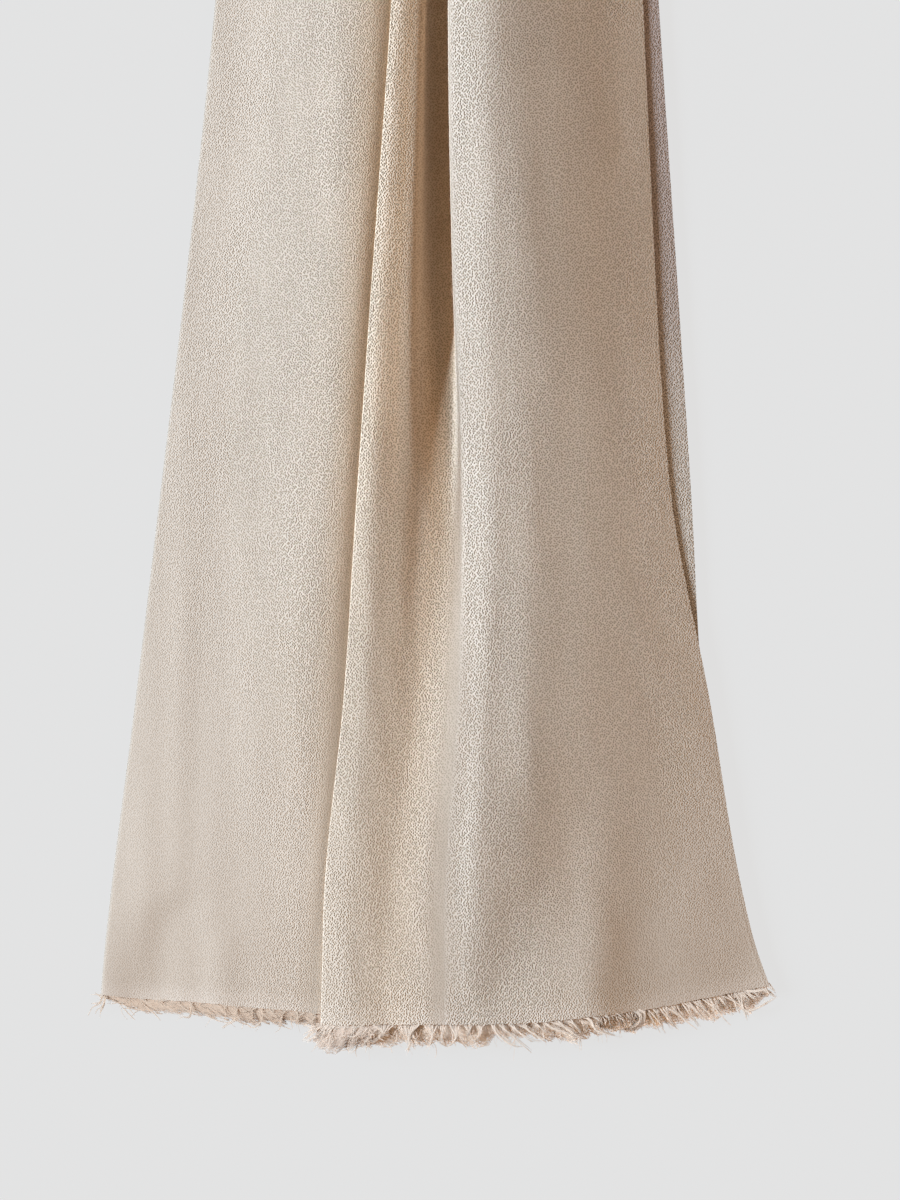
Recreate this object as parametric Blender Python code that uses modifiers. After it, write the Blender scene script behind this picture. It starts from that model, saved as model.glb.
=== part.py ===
"""A pashmina shawl, laid flat.

It is one woven panel, folded lengthwise in half and across its middle, and gathered
towards the crosswise fold. The raveled short ends lie at the front, at -Y. +X is to the
right, and +Z up from the surface that the shawl lies on.

Run it with: blender --background --python part.py
"""

import math
import random
from collections import namedtuple

import bmesh
import bpy
import numpy as np

# ---- driving sizes, in millimetres ----------------------------------------------------
MM = 0.001
HEM_TO_FOLD = 950.0  # laid length of the cloth, from the hem to the crosswise fold
FRINGE_REACH = 23.0  # how far the longest fringe reaches in front of the hem's datum line
WALL = 1.0  # a cloth wall
PLY_GAP = 0.35  # air between two walls that lie on each other
STACK = WALL + PLY_GAP + 0.1  # from the middle of one wall to the middle of the next
FOLD_REACH = 9.0  # how far the crosswise fold bulges past its straight length
FOLD_FOOT = 0.8  # height at which a wall's middle ends, under the crosswise fold
HEM_FADE = 120.0  # the hem's curve is gone this far up the cloth
CENTRE_Y = (HEM_TO_FOLD - FRINGE_REACH) / 2

BODY_ROWS = 24  # grid rows along the straight length
FOLD_ROWS = 3  # grid rows round the crosswise fold

LAYERS = 3  # plies that show as steps at the edge of the hidden layers
LAYER_TREAD = 2.2
LAYER_RISE = 0.9
LAYER_SLANT = 0.25
HIDDEN_END = 3.0  # the hidden layers end this far past the straight length
HIDDEN_SETBACK = 2.5  # and this far behind the hem
LOOK_ASIDE = 1.6  # a wall's height is taken with its neighbourhood, this far each way
FINE = 12  # a section is read this many times finer than its grid, to find a height

STRIP_GAP = 0.45  # from the cloth's edge to a fringe's backing strip
STRIP_WIDTH = 1.1
STRIP_HEIGHT = 0.9
LOCK_THICK = 0.6  # share of the strip's height that is left at a lock's tip
LOCK_JOINTS = (0.5, 1.0)  # shares of a lock's length at which it is drawn to size
LOCK_DROOP = 1.4  # over 1, a lock leaves its strip level and bends down after

CLOTH_COLOUR = (0.62, 0.53, 0.45)
UNDER_COLOUR = (0.50, 0.42, 0.35)
FRINGE_COLOUR = (0.66, 0.56, 0.48)

# ---- the folds ------------------------------------------------------------------------
# Distances of the stations above the hem. Each line below runs the cloth's whole length
# and gives its place across and its height at these stations.
STATIONS = (0, 55, 155, 255, 355, 505, 950)

# cells: grid cells from this line to the next. nest: how far inside the crosswise fold
# it lies. hem: how far the hem lies behind its datum line there.
Line = namedtuple("Line", "name cells nest hem x z")

SIDE_LINES = (
    Line("turned-under lip", 1, 5.0, 7.0,
         (-161.5, -156.5, -144.0, -132.0, -120.0, -104.0, -79.5),
         (0.9, 0.9, 0.9, 0.9, 0.9, 0.9, 0.9)),
    Line("lengthwise fold", 2, 3.2, 7.0,
         (-166.0, -161.0, -148.5, -136.5, -124.5, -108.5, -84.0),
         (2.3, 2.4, 2.4, 2.4, 2.4, 2.4, 2.3)),
    Line("shoulder", 3, 0.8, 7.0,
         (-162.0, -157.0, -144.5, -132.5, -120.5, -104.5, -80.0),
         (3.9, 4.2, 4.2, 4.2, 4.2, 4.2, 4.0)),
    Line("panel", 3, 0.0, 3.5,
         (-118.0, -115.0, -104.0, -95.0, -87.0, -72.0, -55.0),
         (5.9, 8.4, 9.6, 9.4, 9.4, 9.2, 7.4)),
    Line("crest", 3, 0.0, 0.0,
         (-80.0, -78.0, -69.0, -62.0, -55.0, -44.0, -28.0),
         (8.4, 12.0, 14.4, 14.2, 14.2, 13.8, 10.0)),
    Line("under the first roll", 2, 4.0, -2.5,
         (-55.5, -54.0, -44.5, -38.0, -31.0, -20.5, -6.0),
         (7.8, 11.4, 13.8, 13.4, 13.2, 12.6, 9.0)),
    Line("hidden end", 0, 4.4, -3.0,
         (-41.0, -39.0, -30.0, -23.0, -16.0, -6.0, 8.0),
         (6.6, 10.0, 12.2, 11.4, 11.0, 10.2, 7.2)),
)

FRONT_LINES = (
    Line("tucked end", 1, 2.6, -7.3,
         (-46.5, -45.0, -35.5, -29.0, -22.0, -11.5, 3.0),
         (8.9, 12.3, 14.6, 13.9, 13.6, 12.9, 9.6)),
    Line("hook", 1, 2.2, -7.4,
         (-53.5, -52.0, -42.5, -36.0, -29.0, -18.5, -4.0),
         (9.3, 12.9, 15.3, 14.8, 14.6, 14.0, 10.5)),
    Line("first rolled edge", 2, 1.2, -7.5,
         (-55.5, -54.0, -44.5, -38.0, -31.0, -20.5, -6.0),
         (10.6, 14.3, 16.9, 16.5, 16.3, 15.8, 11.9)),
    Line("small roll", 2, 0.0, -7.5,
         (-49.5, -48.0, -38.5, -31.5, -24.5, -14.5, 0.0),
         (11.7, 15.5, 18.2, 17.9, 17.8, 17.3, 12.8)),
    Line("small roll's back", 2, 0.0, -7.4,
         (-43.5, -41.0, -28.0, -22.0, -15.0, -8.0, 5.0),
         (11.2, 15.0, 17.6, 16.9, 16.6, 15.9, 12.3)),
    Line("valley rim", 2, 0.0, -7.2,
         (-38.5, -35.0, -19.0, -12.0, -6.5, -3.2, 10.0),
         (10.4, 14.0, 16.2, 14.4, 13.2, 12.4, 11.2)),
    Line("valley", 1, 0.0, -7.0,
         (-32.0, -28.0, -10.5, -3.5, -0.5, 0.8, 16.0),
         (9.8, 13.4, 14.9, 10.6, 5.6, 4.6, 10.2)),
    Line("foot of the second roll", 2, 0.0, -7.0,
         (-23.0, -19.0, -3.0, 4.5, 9.0, 9.7, 22.0),
         (9.7, 13.4, 15.1, 10.7, 5.8, 4.9, 10.0)),
    Line("second rolled edge", 2, 0.0, -7.0,
         (-13.0, -9.0, 5.0, 10.0, 10.4, 9.0, 27.0),
         (10.0, 14.0, 15.8, 13.0, 10.6, 11.2, 10.4)),
    Line("brow", 2, 0.0, -7.0,
         (-2.0, 3.0, 14.0, 14.5, 12.6, 11.2, 31.0),
         (10.5, 14.8, 16.8, 15.2, 14.6, 15.4, 10.8)),
    Line("broad panel's crest", 2, 0.0, -7.2,
         (22.0, 25.0, 34.0, 33.0, 30.0, 29.0, 38.0),
         (11.0, 15.2, 17.6, 16.6, 16.6, 17.6, 11.0)),
    Line("shoulder of the crest", 2, 0.0, -6.6,
         (42.0, 42.0, 52.0, 48.0, 45.0, 44.0, 48.0),
         (10.2, 13.8, 16.2, 14.7, 14.9, 16.2, 9.8)),
    Line("broad panel", 3, 0.0, -4.6,
         (68.0, 66.0, 80.0, 72.0, 66.0, 64.0, 60.0),
         (9.2, 11.7, 12.6, 11.2, 11.8, 12.4, 7.8)),
    Line("broad panel's right", 3, 0.0, 0.2,
         (105.0, 105.0, 110.0, 96.0, 90.0, 86.0, 73.0),
         (6.0, 7.8, 8.3, 7.6, 7.7, 8.0, 5.6)),
    Line("selvedge", 0, 0.0, 12.0,
         (169.0, 155.5, 139.0, 120.0, 112.5, 105.5, 84.0),
         (3.4, 3.7, 3.7, 3.9, 3.9, 3.9, 3.7)),
)

# The ply behind lies under the front stretch, so a line has only a greatest height.
BehindLine = namedtuple("BehindLine", "name cells hem most_z x")
BEHIND_LINES = (
    BehindLine("hidden edge", 2, 3.0, 99.0, (120, 110, 98, 84, 77, 69, 56)),
    BehindLine("under the panel", 2, 5.0, 99.0, (137, 127, 114, 102, 94, 86, 67)),
    BehindLine("under the selvedge", 2, 8.5, 2.2, (152, 141, 126, 118, 111.5, 103.5, 80)),
    BehindLine("back selvedge", 0, 10.5, 1.0, (163, 151, 136, 130, 123.5, 113.5, 90)),
)
BEHIND_NEST = 2.2

# The hidden layers' edges, and the lines of the sheets over them that they follow.
HIDDEN_LEFT = (-161.2, -156.2, -143.7, -131.7, -119.7, -103.7, -79.2)
HIDDEN_RIGHT = (153, 141, 126, 120, 113, 103.5, 81)
HIDDEN_FOLLOWS = (
    "panel", "crest", "under the first roll", "small roll", "small roll's back",
    "valley rim", "valley", "foot of the second roll", "brow", "broad panel's crest",
    "shoulder of the crest", "broad panel", "broad panel's right",
)

# ---- the fringes ----------------------------------------------------------------------
# locks and their range across, the tips' height, the locks' length, how far a tip
# strays sideways, a lock's width at its root and its tip.
Fringe = namedtuple("Fringe", "locks start end tip_z length stray root tip seed")
FRINGES = {
    "fringe_side": Fringe(25, -165.0, -57.0, 1.1, 9.5, 1.2, 2.2, 0.8, 11),
    "fringe_front": Fringe(52, -54.8, 168.4, 2.9, 12.0, 1.0, 2.2, 0.8, 12),
    "fringe_under": Fringe(30, -40.0, 108.0, 0.9, 12.0, 0.8, 2.2, 0.8, 13),
    "fringe_back": Fringe(10, 122.0, 162.0, 0.9, 11.0, 0.5, 2.0, 0.8, 14),
}
SHORTEST_LOCK = 0.62  # share of the fringe's length
TUFT_REACH = 7.0  # the corner lock at the left stands out this far to the side
UNDER_FRINGE_Z = 1.1  # height of the hidden layers' fringe
UNDER_FRINGE_LEAN = (-0.02, 0.16)  # how it leans at its left and right ends


def smooth(knots, values, at):
    """Values on a smooth curve through the knots."""
    knots, values, at = (np.asarray(v, float) for v in (knots, values, at))
    step = np.diff(knots)
    rise = np.diff(values) / step
    slope = np.empty(len(knots))
    slope[0], slope[-1] = rise[0], rise[-1]
    slope[1:-1] = (rise[:-1] * step[1:] + rise[1:] * step[:-1]) / (step[:-1] + step[1:])
    i = np.clip(np.searchsorted(knots, at, side="right") - 1, 0, len(step) - 1)
    f = (at - knots[i]) / step[i]
    start = (1 + 2 * f) * (1 - f) ** 2 * values[i] + f * (1 - f) ** 2 * step[i] * slope[i]
    end = f * f * (3 - 2 * f) * values[i + 1] - f * f * (1 - f) * step[i] * slope[i + 1]
    return start + end


def section(lines, up, finer=1):
    """x, z, nest and hem of each grid line across a sheet, at this distance up."""
    x = [float(smooth(STATIONS, line.x, up)) for line in lines]
    z = [float(smooth(STATIONS, line.z, up)) for line in lines]
    knots = np.concatenate([[0], np.cumsum(np.hypot(np.diff(x), np.diff(z)) ** 0.5)])
    at = [
        knots[i] + (knots[i + 1] - knots[i]) * k / (line.cells * finer)
        for i, line in enumerate(lines[:-1])
        for k in range(line.cells * finer)
    ] + [knots[-1]]
    nest = [line.nest for line in lines]
    hem = [line.hem for line in lines]
    return [smooth(knots, values, at) for values in (x, z, nest, hem)]


def lowest(lines, up, start, end):
    """The sheet's lowest height between two places across, or None past its edges."""
    x, z, _, _ = section(lines, up, finer=FINE)
    within = z[(x >= start - LOOK_ASIDE) & (x <= end + LOOK_ASIDE)]
    return float(within.min()) if len(within) else None


def behind_lines():
    """The ply behind as lines: as high as the front stretch over it lets it be."""
    lines = []
    for line in BEHIND_LINES:
        heights = []
        for up, x in zip(STATIONS, line.x):
            above = lowest(FRONT_LINES, up, x, x)
            room = line.most_z if above is None else above - STACK
            heights.append(min(line.most_z, room))
        lines.append(
            Line(line.name, line.cells, BEHIND_NEST, line.hem, line.x, tuple(heights))
        )
    return tuple(lines)


def rows():
    """(distance up, angle round the crosswise fold) of each grid row."""
    straight = np.linspace(0, HEM_TO_FOLD - FOLD_REACH, BODY_ROWS)
    turn = [math.pi / 2 * k / FOLD_ROWS for k in range(1, FOLD_ROWS + 1)]
    return [(up, 0.0) for up in straight] + [(straight[-1], angle) for angle in turn]


def place(x, z, nest, hem, up, turn):
    """A grid point of a sheet, in metres."""
    fade = max(0.0, 1 - up / HEM_FADE) ** 2
    y = up + hem * fade + (FOLD_REACH - nest) * math.sin(turn)
    height = FOLD_FOOT + (z - FOLD_FOOT) * math.cos(turn)
    return x * MM, (y - CENTRE_Y) * MM, height * MM


def finished(name, bm, collection, colour, roughness=0.9):
    """An object with its own material from a mesh in the making."""
    bmesh.ops.recalc_face_normals(bm, faces=bm.faces)
    closed = all(edge.is_manifold for edge in bm.edges)
    if closed and bm.calc_volume(signed=True) < 0:
        bmesh.ops.reverse_faces(bm, faces=bm.faces)
    mesh = bpy.data.meshes.new(name)
    bm.to_mesh(mesh)
    bm.free()
    obj = bpy.data.objects.new(name, mesh)
    collection.objects.link(obj)
    material = bpy.data.materials.new(name)
    material.use_nodes = True
    shader = material.node_tree.nodes["Principled BSDF"]
    shader.inputs["Base Color"].default_value = (*colour, 1)
    shader.inputs["Roughness"].default_value = roughness
    shader.inputs["Metallic"].default_value = 0.0
    mesh.materials.append(material)
    return obj


def grid_of(points):
    """A grid mesh whose vertices stand at points[row][column]."""
    bm = bmesh.new()
    across, along = len(points[0]) - 1, len(points) - 1
    bmesh.ops.create_grid(bm, x_segments=across, y_segments=along, size=0.5)
    for vert in bm.verts:
        column = round((vert.co.x + 0.5) * across)
        row = round((vert.co.y + 0.5) * along)
        vert.co = points[row][column]
    return bm


def sheet(name, lines, collection):
    """A cloth wall through the sections of its lines."""
    points = []
    for up, turn in rows():
        x, z, nest, hem = section(lines, up)
        points.append([place(*point, up, turn) for point in zip(x, z, nest, hem)])
    obj = finished(name, grid_of(points), collection, CLOTH_COLOUR)
    obj.data.shade_smooth()
    wall = obj.modifiers.new("wall", "SOLIDIFY")
    wall.thickness = WALL * MM
    wall.offset = 0.0
    return obj


def stair(inset):
    """Height of the steps that the plies make at the edge of the hidden layers."""
    for layer in range(LAYERS):
        start = layer * LAYER_TREAD
        if inset <= start:
            return layer * LAYER_RISE
        if inset < start + LAYER_SLANT:
            return layer * LAYER_RISE + LAYER_RISE * (inset - start) / LAYER_SLANT
    return LAYERS * LAYER_RISE if inset < LAYERS * LAYER_TREAD else math.inf


def step_insets():
    """Insets from the edge at which the steps' grid lines lie."""
    starts = [layer * LAYER_TREAD for layer in range(LAYERS)]
    return [inset for start in starts for inset in (start, start + LAYER_SLANT)]


def hem_line(x):
    """How far the visible hem lies behind its datum line, at this place across."""
    lines = SIDE_LINES[1:5] + FRONT_LINES[2:]
    across = [line.x[0] for line in lines]
    return float(np.interp(x, across, [line.hem for line in lines]))


def hidden_layers(behind, collection):
    """The layers that nothing shows of: one rounded body under the sheets, flat below
    and stepped round its edge like the plies that it stands for."""
    sheets = (SIDE_LINES[1:], FRONT_LINES, behind)
    followed = [li for li in SIDE_LINES + FRONT_LINES if li.name in HIDDEN_FOLLOWS]
    insets = step_insets()
    # Beyond the steps, the body's rows are the sheets' own.
    middle = [up for up, turn in rows() if turn == 0][1:-1]
    end = HEM_TO_FOLD - FOLD_REACH + HIDDEN_END
    ups = [(inset, inset) for inset in insets]
    ups += [(up, min(up, end - up)) for up in middle]
    ups += [(end - inset, inset) for inset in reversed(insets)]
    points = []
    for up, inset_along in ups:
        station = min(up, HEM_TO_FOLD - FOLD_REACH)
        left = float(smooth(STATIONS, HIDDEN_LEFT, station))
        right = float(smooth(STATIONS, HIDDEN_RIGHT, station))
        inner = [float(smooth(STATIONS, line.x, station)) for line in followed]
        across = [left + inset for inset in insets] + inner
        across += [right - inset for inset in reversed(insets)]
        row = []
        for i, x in enumerate(across):
            before, after = across[max(0, i - 1)], across[min(len(across) - 1, i + 1)]
            found = [lowest(lines, station, before, after) for lines in sheets]
            roof = min(z for z in found if z is not None) - WALL / 2 - PLY_GAP
            steps = min(stair(min(x - left, right - x)), stair(inset_along))
            behind_hem = hem_line(x) + HIDDEN_SETBACK
            y = up + behind_hem * max(0.0, 1 - up / HEM_FADE) ** 2
            row.append((x * MM, (y - CENTRE_Y) * MM, min(steps, roof) * MM))
        points.append(row)
    bm = grid_of(points)
    bmesh.ops.holes_fill(bm, edges=bm.edges)
    return finished("hidden_layers", bm, collection, UNDER_COLOUR)


def hem_path(lines, start, end, count):
    """Points along a sheet's hem: x, y, z and how far the cloth leans there."""
    x, z, _, hem = section(lines, 0, finer=FINE)
    higher = section(lines, STATIONS[1], finer=FINE)[0]
    first = int(np.argmin(x))
    x, z, hem, higher = x[first:], z[first:], hem[first:], higher[first:]
    lean = (x - higher) / STATIONS[1]
    at = np.linspace(start, end, count)
    return np.stack([at] + [np.interp(at, x, values) for values in (hem, z, lean)], 1)


def under_path(start, end, count):
    """Points along the front edge of the hidden layers."""
    at = np.linspace(start, end, count)
    hem = [hem_line(x) + HIDDEN_SETBACK for x in at]
    lean = np.linspace(*UNDER_FRINGE_LEAN, count)
    return np.stack([at, hem, np.full(count, UNDER_FRINGE_Z), lean], 1)


def fringe(name, path, collection):
    """Raveled yarns as locks that stand apart, their roots fused in a narrow strip."""
    size = FRINGES[name]
    rng = random.Random(size.seed)
    corners = ((0, 1), (0, -1), (1, -1), (1, 1), (0, 1))
    points = []
    for x, y, z, _ in path:
        near = y - STRIP_GAP
        points.append([
            (x * MM, (near - out * STRIP_WIDTH - CENTRE_Y) * MM,
             (z + rise * STRIP_HEIGHT / 2) * MM)
            for out, rise in corners
        ])
    bm = grid_of(points)
    bmesh.ops.remove_doubles(bm, verts=bm.verts, dist=MM / 1000)
    bmesh.ops.holes_fill(bm, edges=bm.edges)
    bmesh.ops.recalc_face_normals(bm, faces=bm.faces)
    outer = [f for f in bm.faces if f.normal.y < -0.6 and abs(f.normal.z) < 0.5]
    outer.sort(key=lambda f: f.calc_center_median().x)
    for index, root in enumerate(outer[1::2]):
        lean = path[2 * index + 1][3]
        length = size.length * rng.uniform(SHORTEST_LOCK, 1.0)
        stray = rng.uniform(-size.stray, size.stray)
        if name == "fringe_side" and index == 0:
            stray = -TUFT_REACH + lean * length
        grow_lock(bm, root, length, lean, stray, size)
    return finished(name, bm, collection, FRINGE_COLOUR)


def grow_lock(bm, face, length, lean, stray, size):
    """Pulls a tapered, drooping lock out of one cell of the strip."""
    centre = face.calc_center_median()
    for share in LOCK_JOINTS:
        face = bmesh.ops.extrude_discrete_faces(bm, faces=[face])["faces"][0]
        width = (size.root + (size.tip - size.root) * share) * MM
        thick = STRIP_HEIGHT * (1 + (LOCK_THICK - 1) * share) * MM
        x = centre.x + (lean * length * share + stray * share * share) * MM
        y = centre.y - length * share * MM
        z = centre.z + (size.tip_z * MM - centre.z) * share ** LOCK_DROOP
        corners = sorted(face.verts, key=lambda v: v.co.x)
        for side, pair in ((-1, corners[:2]), (1, corners[2:])):
            low, high = sorted(pair, key=lambda v: v.co.z)
            low.co = (x + side * width / 2, y, z - thick / 2)
            high.co = (x + side * width / 2, y, z + thick / 2)


def fringe_path(name, behind):
    """The line that each fringe's strip follows, two cells to a lock and one more."""
    size = FRINGES[name]
    count = 2 * size.locks + 2
    if name == "fringe_under":
        return under_path(size.start, size.end, count)
    lines = {"fringe_side": SIDE_LINES, "fringe_front": FRONT_LINES}.get(name, behind)
    return hem_path(lines, size.start, size.end, count)


def build():
    for obj in list(bpy.data.objects):
        bpy.data.objects.remove(obj, do_unlink=True)
    collection = bpy.data.collections.new("pashmina_shawl")
    bpy.context.scene.collection.children.link(collection)
    behind = behind_lines()
    sheet("side_stretch", SIDE_LINES, collection)
    sheet("front_stretch", FRONT_LINES, collection)
    sheet("back_stretch", behind, collection)
    hidden_layers(behind, collection)
    for name in FRINGES:
        fringe(name, fringe_path(name, behind), collection)


build()
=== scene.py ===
"""The looks of a pashmina shawl, laid flat and folded.

Soft shells with their creases stand for the frame's plain cloth walls, and loose yarns
for its fringes. Sizes in the tables are millimetres: x across, up from the hem towards
the crosswise fold, and z above the surface that the shawl lies on.
"""

import math
import random
from collections import namedtuple

import bmesh
import bpy
import numpy as np
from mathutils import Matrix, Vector


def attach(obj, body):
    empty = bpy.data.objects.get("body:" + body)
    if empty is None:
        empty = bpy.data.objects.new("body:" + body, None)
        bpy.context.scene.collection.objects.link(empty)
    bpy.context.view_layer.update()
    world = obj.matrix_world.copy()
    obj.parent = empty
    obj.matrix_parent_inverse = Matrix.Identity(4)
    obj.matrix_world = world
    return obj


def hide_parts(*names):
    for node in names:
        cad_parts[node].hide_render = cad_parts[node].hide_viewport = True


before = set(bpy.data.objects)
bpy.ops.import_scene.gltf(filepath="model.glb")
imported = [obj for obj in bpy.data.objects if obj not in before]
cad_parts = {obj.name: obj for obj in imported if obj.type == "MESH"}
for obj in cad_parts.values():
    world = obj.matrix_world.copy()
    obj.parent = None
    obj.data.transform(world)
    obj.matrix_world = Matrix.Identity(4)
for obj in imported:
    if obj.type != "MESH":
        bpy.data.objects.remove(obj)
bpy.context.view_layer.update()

bl_info = {
    "name": "Pashmina shawl",
    "version": (1, 0, 0),
    "blender": (4, 5, 0),
    "location": "View3D > Sidebar > Shawl",
    "description": "Builds a folded shawl of fine crepe wool with raveled ends",
    "category": "Add Mesh",
}

# ---- sizes that the frame gives
MM = 0.001
HEM_TO_FOLD = 950.0
HEM_Y = -463.5  # y of the hem's datum line

# ---- the cloth's form
FOLD_REACH = 9.0  # how far the crosswise fold bulges past its straight length
FOLD_FOOT = 0.8  # height at which the cloth ends, under the crosswise fold
HEM_FADE = 120.0  # the hem's curve is gone this far up the cloth
STACK = 0.75  # from the middle of one ply to the middle of the next
BEHIND_NEST = 2.2  # how far inside the crosswise fold the ply behind lies
LOOK_ASIDE = 1.6  # it keeps clear of what is over it, this far to each side
FINE = 12  # times as many cells, to find a sheet's lowest place
NO_LIMIT = 99.0  # higher than any of the cloth

# Distances of the stations above the hem.
STATIONS = (0, 25, 55, 155, 255, 305, 355, 505, 950)

# shade: painted shade, from 0, plain, to 1, where light comes only by way of other cloth,
# and tints it. relief: how strongly the grain stands out. tone: painted light and shade, how
# much lighter or darker the colour is made. Each is a number, or one for each station.
Look = namedtuple("Look", "shade relief tone", defaults=(1,))

# A line that runs the cloth's length. cells: grid cells from it to the next. nest: how far
# inside the crosswise fold it lies. hem: how far the hem lies behind its datum line there.
# x and z: where it lies at the stations.
Line = namedtuple("Line", "name cells nest hem x z look")

# The lengthwise fold's edge and the first rolled edge, across at the stations.
FOLD_EDGE = (-166, -164, -161, -148.5, -136.5, -130.4, -124.5, -108.5, -84)
FIRST_EDGE = (-55.5, -54.8, -54, -44.1, -37.6, -34.1, -30.6, -20.1, -6)


def beside(edge, distance):
    """The places of a line that runs this far to the right of an edge."""
    return tuple(place + distance for place in edge)


def level(height):
    """The heights of a line that is level all the way."""
    return (height,) * len(STATIONS)


# The tones below 1 at the lengthwise fold paint shade over its rim.
SIDE_LINES = (
    Line("turned-under lip", 5, 5, 7, beside(FOLD_EDGE, 4.5), level(0.8),
         Look(0, 0.3, 0.45)),
    Line("lengthwise fold", 2, 3.2, 7, beside(FOLD_EDGE, 0.35), level(2.1),
         Look(0, 0.3, 0.4)),
    Line("shoulder", 2, 0.8, 7, FOLD_EDGE, level(2.75), Look(0, 0.3, 0.5)),
    Line("rim of the panel", 10, 0.6, 7, beside(FOLD_EDGE, 1), level(2.93),
         Look(0, 0.5, 0.9)),
    Line("panel's left", 12, 0.4, 5.5,
         (-150, -148, -143, -132, -121, -115, -109, -93, -70),
         (3.35, 3.85, 4.65, 4.85, 4.95, 5.15, 5.1, 5.15, 4.9), Look(0, 0.7, 0.93)),
    Line("panel", 10, 0, 3.5,
         (-118, -117, -115, -104, -95, -91, -87, -72, -55),
         (4.5, 4.9, 6.4, 7.6, 8.25, 8.5, 8.85, 9, 7.4), Look(0, 0.95, 0.93)),
    Line("crest's left", 8, 0, 1.2,
         (-92, -90, -88, -80, -73, -68.5, -64, -55, -38),
         (5.8, 6.4, 8.3, 10.65, 11.75, 12.25, 12.9, 11.95, 9), Look(0.05, 1.7, 0.93)),
    Line("crest", 6, 0, -0.6,
         (-70, -67, -66, -61, -54, -50.4, -47, -40, -24),
         (6.7, 7.7, 10.2, 12.6, 14.8, 15.2, 15.85, 14.2, 9.8), Look(0.2, 3.2, 0.93)),
    Line("before the first roll", 5, 1, -2,
         (-59, -58.5, -57, -48, -42, -38.3, -34.5, -25, -10),
         (6.8, 7.9, 10.7, 12.55, 14.95, 15.45, 16, 14.15, 9.4), Look(0.7, 1.2, 0.92)),
    Line("under the first roll", 4, 4, -2.5,
         (-51, -50, -49, -39, -32.5, -28.8, -25, -15, -1),
         (6.5, 7.7, 9.9, 11, 12.7, 12.9, 12.9, 11.5, 8.6), Look(1, 0.4, 0.9)),
    Line("hidden end", 0, 4.4, -3,
         (-41, -40, -39, -30, -23, -19.5, -16, -6, 8),
         (5.3, 6.7, 8.8, 10, 11.3, 11.5, 11.5, 10.1, 7.2), Look(1, 0.4, 0.9)),
)

# Their tones paint light and shade on the rolled edges, the small roll and the valley.
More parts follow.
